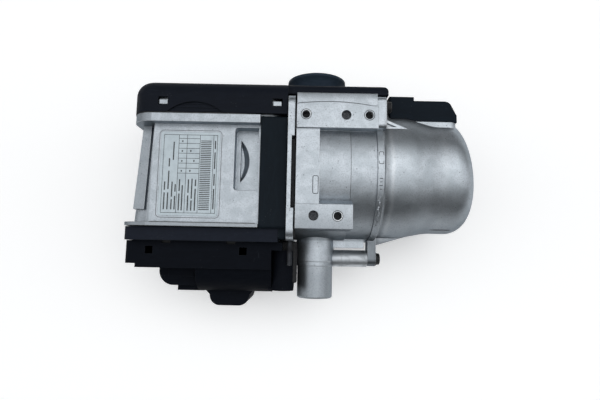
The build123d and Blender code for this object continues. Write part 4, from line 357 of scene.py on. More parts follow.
class ShaderGraph(Graph):
    """A material's nodes, with the patterns that the finishes are made of."""

    def __init__(self, name: str) -> None:
        """Starts a material with a shader and an output."""
        self.material = bpy.data.materials.new(name)
        self.material.use_nodes = True
        super().__init__(self.material.node_tree)
        self.shader = self.node("BsdfPrincipled")
        self.node("OutputMaterial", {"Surface": self.shader.outputs["BSDF"]})
        self.place = self.node("TexCoord").outputs["Object"]
        self.normal = self.node("NewGeometry").outputs["Normal"]

    def blend(self, share: Value, first: Value, second: Value) -> Socket:
        """Mix of two colours."""
        return self.node("Mix", {0: share, 6: first, 7: second}, data_type="RGBA").outputs[2]

    def tinted(self, colour: Value, *layers: tuple[Value, Value, Value]) -> Value:
        """Lays colours on a colour, each with its mask and its share where the mask is 1."""
        for mask, share, other in layers:
            colour = self.blend(self.times(mask, share), colour, other)
        return colour

    def texture(self, kind: str, size: float, stretch: Place, inputs: Inputs, **settings: Any) -> Node:
        """Texture of a size, with each coordinate multiplied by stretch for patterns that run one way."""
        vector = self.node("Mapping", {"Vector": self.place, "Scale": stretch}).outputs[0]
        return self.node("Tex" + kind, {"Vector": vector, "Scale": 1 / (size * MM)} | inputs, **settings)

    def noise(self, size: float, detail: float = 2.0, warp: float = 0.0, stretch: Place = EVEN) -> Socket:
        """Cloudy noise whose patches are about size across."""
        return self.texture("Noise", size, stretch, {"Detail": detail, "Distortion": warp}).outputs[0]

    def cells(self, size: float, stretch: Place = EVEN, feature: str = "F1") -> Socket:
        """Distance to the middle of the nearest cell, or to its border."""
        return self.texture("Voronoi", size, stretch, {}, feature=feature).outputs["Distance"]

    def borders(self, size: float, stretch: Place, low: float, high: float) -> Socket:
        """Mask along the borders of cells, from the distance to them."""
        return self.span(self.cells(size, stretch, "DISTANCE_TO_EDGE"), low, high)

    def coordinate(self, direction: Direction) -> Socket:
        """One coordinate of the place, in metres."""
        return self.node("SeparateXYZ", {0: self.place}).outputs[direction.value]

    def off(self, value: Value, middle: float) -> Socket:
        """How far a value in metres lies from a middle in millimetres."""
        return self.maths("ABSOLUTE", self.maths("SUBTRACT", value, middle * MM))

    def stripes(self, pitch: float, direction: Direction, wander: Value = 0.0) -> Socket:
        """Waves from 0 to 1 along one axis, with a phase that may wander."""
        phase = self.line(self.coordinate(direction), FULL_TURN / (pitch * MM), wander)
        return self.line(self.maths("SINE", phase), 0.5, 0.5)

    def rounded_edges(self, radius: float) -> tuple[Socket, Socket]:
        """Softens the edges.

        Args:
            radius: the edges' radius.

        Returns:
            The softened normal, and a mask that is 1 on the edges.
        """
        soft = self.node("Bevel", {"Radius": radius * MM}, samples=EDGE_SAMPLES).outputs[0]
        match = self.vector("DOT_PRODUCT", soft, self.normal).outputs["Value"]
        return soft, self.span(match, 0.998, 0.93)

    def finish(
        self,
        colour: Value,
        metallic: Value,
        roughness: Value,
        normal: Socket | None = None,
        *layers: tuple[Value, float],
        **others: Value,
    ) -> None:
        """Feeds the shader.

        Args:
            colour: the base colour.
            metallic: how metallic the surface is.
            roughness: its roughness.
            normal: its normal, where it isn't the plain one.
            layers: height patterns that are stacked on the normal, each with its depth.
            others: values for other sockets, whose names have _ for a space.
        """
        for height, depth in layers:
            inputs = {"Height": height, "Distance": depth * MM, "Strength": 1.0, "Normal": normal}
            normal = self.node("Bump", inputs).outputs[0]
        sockets = {"Base Color": colour, "Metallic": metallic, "Roughness": roughness}
        if normal is not None:
            sockets["Normal"] = normal
        for key, value in (sockets | others).items():
            self.feed(self.shader.inputs[key.replace("_", " ")], value)


@dataclass(frozen=True)
class Finish:
    """A kind of surface. Each of the classes below paints its own."""

    name: str

    def paint(self, g: ShaderGraph) -> None:
        """Adds the finish's nodes."""
        raise NotImplementedError


@cache
def material_of(finish: Finish) -> bpy.types.Material:
    """Builds a finish's material when it's first asked for."""
    g = ShaderGraph(finish.name)
    finish.paint(g)
    return g.material


@dataclass(frozen=True)
class CastMetal(Finish):
    """Bead-blasted die casting: fine grain, soft clouds of shade, pits, a parting line and brighter edges, with
    painted shade and painted highlight stripes across X and painted shade that darkens it towards one end of an
    axis.
    """

    colour: Colour = (0.48, 0.52, 0.56)
    cloud_colour: Colour = (0.41, 0.45, 0.485)
    edge_colour: Colour = (0.70, 0.72, 0.74)
    speck_colour: Colour = (0.14, 0.145, 0.15)
    fleck_colour: Colour = (0.33, 0.355, 0.38)
    metallic: float = 0.95
    roughness: float = 0.44
    grain: float = 0.32
    grain_depth: float = 0.028
    cloud: float = 9.0
    wave_depth: float = 0.12
    pit: float = 1.7
    pit_depth: float = 0.06
    edge: float = 0.45
    parting_z: float = AXIS_Z
    parting_width: float = 0.35
    parting_depth: float = 0.10
    grazing: Colour = (0.42, 0.45, 0.48)
    # Stripes of painted shade and painted highlight across X: middle, half width and share.
    shade_and_highlight_bands: tuple[Place, ...] = ()
    painted_band_sway: float = 3.0
    painted_shades: tuple[PaintedShade, ...] = ()
    shade_fade: float = 1.5
    painted_shade_colour: Colour = (0.10, 0.112, 0.125)

    def with_painted_bands(self, g: ShaderGraph, colour: Value) -> Value:
        """Paints soft stripes of shade and highlight across X into a colour.

        Args:
            g: the material's nodes.
            colour: the colour so far.

        Returns:
            The colour, with painted shade round each stripe's X, or a painted highlight where the stripe's
            share is below 0.
        """
        drift = g.line(g.noise(9.0, detail=3.0), self.painted_band_sway * MM, g.coordinate(Direction.X))
        for x, half_width, share in self.shade_and_highlight_bands:
            amount = g.span(g.off(drift, x + self.painted_band_sway / 2), half_width * MM, 0.0, 0.0, abs(share))
            # The speck colour paints the shade and the edge colour the highlight.
            colour = g.blend(amount, colour, self.speck_colour if share > 0 else self.edge_colour)
        return colour

    def paint(self, g: ShaderGraph) -> None:
        """Adds the finish's nodes."""
        soft, edges = g.rounded_edges(self.edge)
        grain = g.noise(self.grain, detail=3.0)
        clouds = g.span(g.noise(self.cloud, detail=3.0, warp=0.8), 0.38, 0.62)
        flecks = g.noise(self.grain * 2.2, detail=3.0)
        few = g.span(g.noise(self.cloud * 0.6), 0.52, 0.66)
        pits = g.times(g.span(g.cells(self.pit), 0.22, 0.10), few)
        off_line = g.off(g.coordinate(Direction.Z), self.parting_z)
        parting = g.span(off_line, self.parting_width * MM, 0.3 * self.parting_width * MM)
        colour = g.blend(clouds, self.cloud_colour, self.colour)
        colour = g.blend(g.span(flecks, 0.48, 0.64, 0.0, 0.60), colour, self.fleck_colour)
        colour = g.tinted(colour, (pits, 0.75, self.speck_colour))
        colour = self.with_painted_bands(g, colour)
        # Painted shade: the colour darkens along an axis.
        for direction, start, end, share, stop in self.painted_shades:
            shade_mask = g.span(g.coordinate(direction), start * MM, end * MM, 0.0, share)
            shade_mask = g.times(shade_mask, g.span(g.coordinate(direction), (stop - self.shade_fade) * MM, stop * MM))
            colour = g.tinted(colour, (shade_mask, g.span(clouds, 0.0, 1.0, 0.85, 1.0), self.painted_shade_colour))
        colour = g.tinted(colour, (edges, 0.55, self.edge_colour))
        rough = g.line(g.noise(self.cloud * 0.45, detail=3.0), 0.16, self.roughness - 0.08)
        rough = g.line(edges, -0.10, g.line(pits, 0.2, rough))
        waves = (g.noise(self.cloud * 1.6), self.wave_depth)
        layers = (waves, (grain, self.grain_depth), (pits, -self.pit_depth), (parting, self.parting_depth))
        g.finish(colour, self.metallic, rough, soft, *layers, Specular_Tint=self.grazing)


@dataclass(frozen=True)
class MouldedPlastic(Finish):
    """Moulded black plastic: eroded grain, glass-fibre streaks, dust and rubbed edges."""

    colour: Colour = (0.0060, 0.0088, 0.0136)
    streak_colour: Colour = (0.0078, 0.0112, 0.0168)
    dust_colour: Colour = (0.16, 0.17, 0.18)
    edge_colour: Colour = (0.026, 0.031, 0.038)
    roughness: float = 0.62
    grain: float = 0.22
    grain_depth: float = 0.02
    streak: float = 3.2
    flow: Place = (0.35, 1.0, 1.0)
    dust: float = 1.5
    dust_amount: float = 0.5
    edge: float = 0.35
    specular: float = 0.06

    def paint(self, g: ShaderGraph) -> None:
        """Adds the finish's nodes."""
        soft, edges = g.rounded_edges(self.edge)
        grain = g.noise(self.grain)
        streaks = g.span(g.noise(self.streak, detail=4.0, warp=1.2, stretch=self.flow), 0.40, 0.68)
        broad = g.noise(26.0)
        few = g.span(g.noise(11.0), 0.50, 0.70)
        dust = g.times(g.span(g.cells(self.dust), 0.13, 0.05), few)
        scratch = g.borders(4.5, (0.25, 1.6, 1.0), 0.018, 0.004)
        scratch = g.times(scratch, g.span(g.noise(17.0), 0.58, 0.70))
        colour = g.blend(streaks, self.colour, self.streak_colour)
        colour = g.tinted(
            colour,
            (dust, self.dust_amount, self.dust_colour),
            (scratch, 0.35, self.edge_colour),
            (edges, 0.6, self.edge_colour),
        )
        rough = g.line(streaks, 0.10, g.line(broad, 0.16, self.roughness - 0.12))
        layers = ((broad, 0.10), (grain, self.grain_depth), (scratch, -0.015))
        g.finish(colour, 0.0, rough, soft, *layers, Specular_IOR_Level=self.specular)


@dataclass(frozen=True)
class TurnedMetal(Finish):
    """Turned or drawn metal: fine lines along one axis, faint stains and bright edges."""

    colour: Colour
    stain_colour: Colour
    direction: Direction
    metallic: float = 1.0
    roughness: float = 0.30
    pitch: float = 0.16
    line_depth: float = 0.006
    edge: float = 0.2

    def paint(self, g: ShaderGraph) -> None:
        """Adds the finish's nodes."""
        soft, edges = g.rounded_edges(self.edge)
        wander = g.times(g.noise(1.4, detail=3.0), 9.0)
        lines = g.stripes(self.pitch, self.direction, wander)
        stains = g.span(g.noise(5.0, detail=4.0, warp=0.5), 0.48, 0.70)
        colour = g.tinted(
            self.colour,
            (stains, 0.6, self.stain_colour),
            (lines, 0.12, self.stain_colour),
            (edges, 0.35, (0.85, 0.85, 0.84)),
        )
        rough = g.line(stains, 0.15, g.line(lines, 0.06, self.roughness))
        g.finish(colour, self.metallic, rough, soft, (lines, self.line_depth), (g.noise(0.5), 0.006))


@dataclass(frozen=True)
class Rubber(Finish):
    """Rubber or sheet seal: matte, with a fine skin and grey bloom."""

    colour: Colour
    bloom_colour: Colour
    grain: float = 0.4
    roughness: float = 0.72

    def paint(self, g: ShaderGraph) -> None:
        """Adds the finish's nodes."""
        soft, edges = g.rounded_edges(0.3)
        bloom = g.span(g.noise(3.5, detail=4.0), 0.42, 0.68)
        fibres = g.noise(self.grain, detail=3.0, stretch=(0.5, 1.0, 1.0))
        colour = g.tinted(self.colour, (bloom, 0.7, self.bloom_colour), (edges, 0.4, self.bloom_colour))
        rough = g.line(bloom, 0.12, self.roughness)
        g.finish(colour, 0.0, rough, soft, (fibres, 0.03))


@dataclass(frozen=True)
class HeatTintedSteel(Finish):
    """Stainless sheet of the burner, tinted from straw to blue along the flame, with soot."""

    cool_x: float = -18.0
    hot_x: float = 62.0
    stops: tuple[tuple[float, Colour], ...] = (
        (0.0, (0.52, 0.50, 0.47)),
        (0.3, (0.50, 0.38, 0.20)),
        (0.55, (0.30, 0.20, 0.24)),
        (0.8, (0.16, 0.20, 0.34)),
    )

    def paint(self, g: ShaderGraph) -> None:
        """Adds the finish's nodes."""
        soft, edges = g.rounded_edges(0.2)
        drift = g.line(g.noise(9.0, detail=3.0), 22 * MM, g.coordinate(Direction.X))
        heat = g.span(drift, self.cool_x * MM, self.hot_x * MM)
        tint = g.node("ValToRGB", {"Fac": heat})
        ramp = tint.color_ramp
        while len(ramp.elements) < len(self.stops):
            ramp.elements.new(1.0)
        for element, (position, colour) in zip(ramp.elements, self.stops):
            element.position = position
            element.color = (*colour, 1.0)
        soot = g.span(g.noise(4.0, detail=5.0, warp=0.6), 0.50, 0.68)
        colour = g.tinted(tint.outputs["Color"], (soot, 0.7, (0.03, 0.028, 0.026)))
        metallic = g.line(soot, -0.5, 1.0)
        rough = g.line(soot, 0.35, 0.34)
        drawn = g.noise(0.6, detail=3.0, stretch=(0.3, 1, 1))
        g.finish(colour, metallic, rough, soft, (drawn, 0.02), (edges, 0.02))


@dataclass(frozen=True)
class MetalFleece(Finish):
    """Pressed metal fibres of the evaporator."""

    def paint(self, g: ShaderGraph) -> None:
        """Adds the finish's nodes."""
        one_way = g.borders(0.5, (1.0, 0.25, 1.0), 0.0, 0.12)
        other_way = g.borders(0.5, (1.0, 1.0, 0.25), 0.0, 0.12)
        fibres = g.times(one_way, other_way)
        colour = g.blend(fibres, (0.46, 0.44, 0.41), (0.07, 0.066, 0.06))
        rough = g.line(fibres, 0.3, 0.45)
        g.finish(colour, 0.9, rough, g.normal, (fibres, -0.12))


@dataclass(frozen=True)
class SinteredSolid(Finish):
    """Dense powder, as ceramic or ferrite, and the painted shade in a casting's recesses and along its dark
    lines: speckled and matte.
    """

    colour: Colour
    speck_colour: Colour
    roughness: float = 0.5
    metallic: float = 0.0

    def paint(self, g: ShaderGraph) -> None:
        """Adds the finish's nodes."""
        soft, edges = g.rounded_edges(0.25)
        specks = g.span(g.noise(0.35, detail=3.0), 0.50, 0.62)
        clouds = g.noise(5.0, detail=3.0)
        colour = g.tinted(self.colour, (specks, 0.6, self.speck_colour), (clouds, 0.35, self.speck_colour))
        rough = g.line(clouds, 0.2, self.roughness - 0.1)
        g.finish(colour, self.metallic, rough, soft, (specks, 0.012), (edges, 0.01))


@dataclass(frozen=True)
class LayeredSheets(Finish):
    """Stacked electrical sheets, seen as fine layers along one axis."""

    direction: Direction
    layer: float = 0.5

    def paint(self, g: ShaderGraph) -> None:
        """Adds the finish's nodes."""
        layers = g.stripes(self.layer, self.direction, g.times(g.noise(6.0), 0.8))
        gaps = g.span(layers, 0.25, 0.05)
        rust = g.span(g.noise(4.0, detail=4.0), 0.55, 0.72)
        colour = g.blend(gaps, (0.30, 0.31, 0.32), (0.05, 0.05, 0.052))
        colour = g.tinted(colour, (rust, 0.5, (0.20, 0.12, 0.075)))
        rough = g.line(rust, 0.25, 0.42)
        g.finish(colour, 0.9, rough, g.normal, (gaps, -0.06), (g.noise(0.4), 0.01))


@dataclass(frozen=True)
class WoundWire(Finish):
    """Enamelled wire laid turn by turn, with a varnish coat."""

    wire: float = 0.55

    def paint(self, g: ShaderGraph) -> None:
        """Adds the finish's nodes."""
        wander = g.times(g.noise(2.5), 2.4)
        turns = g.stripes(self.wire, Direction.Y, wander)
        gaps = g.span(turns, 0.30, 0.04)
        shade = g.noise(3.0, detail=3.0)
        colour = g.blend(shade, (0.62, 0.25, 0.10), (0.78, 0.38, 0.17))
        colour = g.blend(gaps, colour, (0.12, 0.04, 0.015))
        rough = g.line(gaps, 0.3, 0.26)
        g.finish(colour, 0.85, rough, g.normal, (turns, 0.16), Coat_Weight=0.4)


@dataclass(frozen=True)
class CircuitBoard(Finish):
    """Green board with traces under its mask and tinned pads."""

    def paint(self, g: ShaderGraph) -> None:
        """Adds the finish's nodes."""
        along = g.borders(3.4, (0.3, 1.0, 1.0), 0.09, 0.05)
        across = g.borders(3.1, (1.0, 1.0, 0.3), 0.09, 0.05)
        traces = g.maths("MAXIMUM", along, across)
        pads = g.span(g.cells(4.2), 0.16, 0.12)
        weave = g.times(g.stripes(0.5, Direction.X), g.stripes(0.5, Direction.Z))
        colour = g.blend(traces, (0.010, 0.085, 0.035), (0.03, 0.17, 0.075))
        colour = g.blend(pads, colour, (0.30, 0.30, 0.27))
        rough = g.line(weave, 0.08, 0.28)
        layers = ((traces, 0.035), (weave, 0.008), (pads, 0.05))
        g.finish(colour, pads, rough, g.normal, *layers, Coat_Weight=0.3)


@dataclass(frozen=True)
class PlateStock(Finish):
    """Satin foil of the rating plate, a little mottled, with a worn rim."""

    colour: Colour = (0.50, 0.57, 0.61)
    worn_colour: Colour = (0.40, 0.46, 0.50)

    def paint(self, g: ShaderGraph) -> None:
        """Adds the finish's nodes."""
        soft, edges = g.rounded_edges(0.25)
        mottle = g.span(g.noise(2.2, detail=4.0), 0.40, 0.66)
        smudge = g.span(g.noise(13.0, warp=1.0), 0.50, 0.72)
        colour = g.tinted(
            self.colour,
            (mottle, 0.35, self.worn_colour),
            (smudge, 0.30, self.worn_colour),
            (edges, 0.5, self.worn_colour),
        )
        rough = g.line(smudge, 0.2, 0.40)
        g.finish(colour, 0.35, rough, soft, (g.noise(0.5), 0.006), (g.noise(9.0), 0.05))


@dataclass(frozen=True)
class PrintedInk(Finish):
    """Dark print with thin spots."""

    def paint(self, g: ShaderGraph) -> None:
        """Adds the finish's nodes."""
        thin = g.span(g.noise(0.5, detail=3.0), 0.52, 0.70)
        colour = g.blend(g.times(thin, 0.55), (0.035, 0.04, 0.045), (0.30, 0.32, 0.33))
        rough = g.line(thin, 0.15, 0.45)
        g.finish(colour, 0.0, rough, g.normal, (thin, -0.004))


# Finishes that more than one sub-assembly wears, under a name of their own in each

# Colours of the painted shade in the holes' floors and along the dark lines beside raised marks and steps.
PAINTED_SHADE_TONES = ((0.075, 0.08, 0.09), (0.035, 0.038, 0.042), 0.65)
ZINC = ((0.60, 0.61, 0.60), (0.42, 0.40, 0.33))
DARK_RUBBER = ((0.006, 0.006, 0.007), (0.02, 0.02, 0.022))
NO_STOP = -500.0  # a painted shade with this stop runs on to the casting's end


# Sub-assemblies


@dataclass(frozen=True)
class SocketScrew:
    """A flanged screw with a lobed socket, along X with its head outwards."""

    head_radius: float
    head_height: float
    shank_radius: float
    shank_length: float
    socket_radius: float = 1.75
    socket_depth: float = 2.0
    steps: int = 48

    def shape(self) -> Shape:
        """Works the screw out round X = 0, its seat, from rings with an X, a radius and a lobe each."""
        r, h, s = self.head_radius, self.head_height, self.socket_radius
        floor = h - self.socket_depth
        rows = (
            (floor - 0.5, 0.0, 0.0), (floor, s * 0.85, 0.10), (h - 0.35, s, 0.13),
            (h - 0.05, s * 1.12, 0.09), (h, s * 1.22, 0.03), (h, r * 0.66, 0.0),
            (h - 0.12, r * 0.76, 0.0), (h - 0.5, r * 0.84, 0.0), (h * 0.42, r * 0.86, 0.0),
            (h * 0.34, r * 0.90, 0.0), (h * 0.28, r * 0.99, 0.0), (h * 0.12, r, 0.0),
            (0.0, r * 0.98, 0.0), (0.0, self.shank_radius, 0.0),
            (-self.shank_length, self.shank_radius, 0.0), (-self.shank_length, 0.0, 0.0),
        )
        table = np.array(rows)
        return turned(table[:, :2], self.steps, table[:, 2])


@dataclass
class Exchanger:
    """The exchanger casting with its threaded holes, dimples, shoulder, cast frame, chamfers and the painted
    shadow line at its band's step.
    """

    cast: Finish = CastMetal(
        "exchanger_cast",
        # Painted shade: darker towards -Y over the casting's underside, and again down the exhaust stub.
        painted_shades=((Direction.Y, -20.0, -40.0, 0.50, -42.6), (Direction.Y, -50.0, -66.0, 0.40, NO_STOP)),
    )
    # Painted shade: the threads are dark for the shade deep in the holes.
    shade_painted: Finish = CastMetal(
        "shade_painted_thread", (0.10, 0.10, 0.105), (0.04, 0.04, 0.042), roughness=0.40, wave_depth=0.0
    )
    painted_shade: Finish = SinteredSolid("cast_painted_shade", *PAINTED_SHADE_TONES)
    # Painted highlight: a brighter cast colour, used on the holes' collars and the band's chamfers.
    worn: Finish = CastMetal("painted_highlight_cast", (0.62, 0.64, 0.66), roughness=0.38, wave_depth=0.0, edge=0.1)
    face_z: float = 91.0
    bolt_places: tuple[Place, ...] = ((-7.7, 27.1, 0.0), (28.2, 27.1, 0.0), (10.6, -30.5, 0.0))
    thread_radius: float = 2.3
    thread_depth: float = 0.30
    thread_pitch: float = 0.8
    thread_top: float = 0.85
    thread_length: float = 11.0
    thread_fade: float = 0.4
    thread_wall: float = 0.05
    drill_depth: float = 6.0
    drill_slope: float = 0.35
    dimple_places: tuple[Place, ...] = ((15.1, 27.0, 0.0), (-2.8, -30.5, 0.0))
    dimple_radius: float = 2.73
    dimple_floor: float = 2.4
    dimple_lump: float = 0.16
    collar_sink: float = 0.04
    collar: tuple[Pair, ...] = ((2.30, -0.05), (2.32, 0.03), (2.52, 0.07), (2.74, 0.06), (2.80, -0.05))
    outline: tuple[Pair, ...] = ((2.70, -0.05), (2.72, 0.07), (2.92, 0.09), (3.12, 0.07), (3.14, -0.05))
    cap_span: Pair = (-12.9, 33.2)
    cap_sag: float = 0.05
    cap_profile: tuple[Pair, ...] = (
        (32.4, 88.4), (32.4, 89.42), (36.0, 89.36), (39.9, 89.22),
        (40.4, 89.0), (40.56, 88.5), (40.56, 86.5), (37.0, 87.6),
    )
    cap_end: tuple[tuple[int, ...], ...] = ((0, 1, 2, 7), (2, 3, 6, 7), (3, 4, 5, 6))
    flange_z: float = 89.5
    frame_centre: Pair = (-1.85, -13.0)
    frame_size: Pair = (3.0, 10.0)
    frame_corner: float = 0.8
    frame_bead: Pair = (0.40, 0.07)
    step_place: Pair = (34.5, 89.40)
    step_gap: float = 0.55
    step_arch: Pair = (1.3, 0.65)
    step_bead: Pair = (0.6, 0.08)
    chamfer_span: Pair = (0.6, 17.6)
    chamfer_height: float = 0.22
    chamfers: tuple[tuple[str, float, float, float], ...] = (
        ("band_chamfer_top", 18.3, 84.45, 1.5), ("band_chamfer_low", -21.75, 82.65, 2.2)
    )
    # A painted shadow line where the band steps down.
    step_shadow_x: float = 18.08
    step_shadow_radius: float = 42.0
    step_shadow_span: Pair = (18.6, -24.6)
    step_shadow_bead: Pair = (0.5, 0.06)

    def add(self, name: str, shape: Shape, finish: Finish, sharp: float = 35.0) -> None:
        """Makes one piece of the casting."""
        make_piece(name, shape, finish, sharp)

    def threads(self) -> None:
        """Cuts the threads that show in the three holes, dark with painted shade down the holes.

        The inner wall's radius at the height z and turn a is thread_radius less thread_depth times a triangle
        wave of z / pitch - a / (2 pi). The wall closes behind it on the hole.
        """
        steps, levels = 40, int(self.thread_length / self.thread_pitch * 8) + 1
        turn = whole_turn(steps)
        height = np.linspace(0.0, self.thread_length, levels)
        phase = height[:, None] / self.thread_pitch - turn[None] / FULL_TURN
        wave = 1.0 - 2.0 * np.abs(phase % 1.0 - 0.5)
        from_end = np.minimum(height, self.thread_length - height)
        fade = np.clip(from_end / self.thread_fade, 0.0, 1.0)[:, None]
        inner = self.thread_radius - 0.01 - self.thread_depth * wave * fade
        radius = np.concatenate([inner, np.full((2, steps), self.thread_radius + self.thread_wall)])
        level = np.concatenate([height, height[[-1, 0]]])[:, None]
        wall = rings(radius, self.face_z - self.thread_top - self.thread_length + level, closed=True)
        self.add("bolt_threads", repeated(wall, self.bolt_places), self.shade_painted)

    def hole_floors(self) -> None:
        """Roughens the dimples' floors and closes the threads with a drill's cone, both dark with painted
        shade.

        A dimple's floor at the radius r and turn a lies dimple_floor below the face, plus
        dimple_lump * (sin(3 a + 2.6 r + x) + cos(2 a - 4 r)). A cone rises from its middle by drill_slope * r.
        """
        share, turn = np.meshgrid(np.linspace(0.02, 1.0, 16), whole_turn(40), indexing="ij")
        r = share * self.dimple_radius
        floors = []
        for place in self.dimple_places:
            wave = np.sin(3 * turn + 2.6 * r + place[0]) + np.cos(2 * turn - 4 * r)
            floor = rings(r, self.face_z + (self.dimple_lump * wave - self.dimple_floor))
            floors.append(repeated(floor, [place]))
        r = share * self.thread_radius
        cone = rings(r, self.face_z - self.thread_top - self.drill_depth + self.drill_slope * r)
        floors.append(repeated(cone, self.bolt_places))
        self.add("hole_floors", joined(floors), self.painted_shade, sharp=80.0)

    def collars(self) -> None:
        """Lays a thin collar round each threaded hole, brighter with a painted highlight, and a line of painted
        shade round it.
        """
        for name, rows, finish in (
            ("bolt_collars", self.collar, self.worn),
            ("bolt_outlines", self.outline, self.painted_shade),
        ):
            radius, rise = np.array(rows).T[..., None]
            ring = rings(np.repeat(radius, 56, axis=1), self.face_z - self.collar_sink + rise, closed=True)
            self.add(name, repeated(ring, self.bolt_places), finish)

    def shoulder(self) -> None:
        """Lays the flat cast shoulder over the slope behind the upper bosses.

        The section cap_profile is carried along X. Its top sags by cap_sag * sin(pi * share of length).
        """
        steps, count = 49, len(self.cap_profile)
        y, z = np.array(self.cap_profile).T
        sag = -self.cap_sag * np.sin(np.linspace(0.0, math.pi, steps))
        points = places(np.linspace(*self.cap_span, steps)[:, None], y, z + sag[:, None]).reshape(-1, 3)
        end = np.array(self.cap_end)
        faces = np.concatenate([grid_faces(steps, count), end, (steps - 1) * count + end])
        self.add("shoulder_cap", (points, faces), self.cast)

    def lines(self) -> None:
        """Raises the flange's rounded frame in dark painted shade, a painted shadow line beside the shoulder's
        step, the band's chamfers in a painted highlight, and a painted shadow line where the band steps down.

        At the share s of half the cap's length from its middle, the step line's Y is that of step_place, less
        bow * s^2 + lean * (s + s^2), plus step_gap.
        """
        outline = rounded_rectangle(*self.frame_size, self.frame_corner) + np.array(self.frame_centre)
        ring = bead(on_level(*outline.T, self.flange_z), *self.frame_bead, closed=True)
        self.add("flange_frame", ring, self.painted_shade)
        low, high = self.cap_span
        along = np.linspace(low, high, 49)
        share = (along - (low + high) / 2) / ((high - low) / 2)
        (y, z), (bow, lean) = self.step_place, self.step_arch
        arch = y - bow * share**2 - lean * (share + share**2) + self.step_gap
        self.add("shoulder_step_shadow", bead(on_level(along, arch, z), *self.step_bead), self.painted_shade)
        along = np.linspace(*self.chamfer_span, 40)
        for name, y, z, width in self.chamfers:
            # The chamfers take the painted highlight's brighter colour.
            self.add(name, bead(on_level(along, y, z), width, self.chamfer_height), self.worn)
        # A painted shadow line where the band steps down to the body.
        seam = on_cylinder(self.step_shadow_x, np.linspace(*self.step_shadow_span, 60), self.step_shadow_radius)
        self.add("band_step_shadow", bead(seam, *self.step_shadow_bead), self.painted_shade)

    def build(self) -> None:
        """Dresses the casting and adds what the solid leaves out."""
        dress(self.cast, "exchanger_body")
        self.threads()
        self.hole_floors()
        self.collars()
        self.shoulder()
        self.lines()


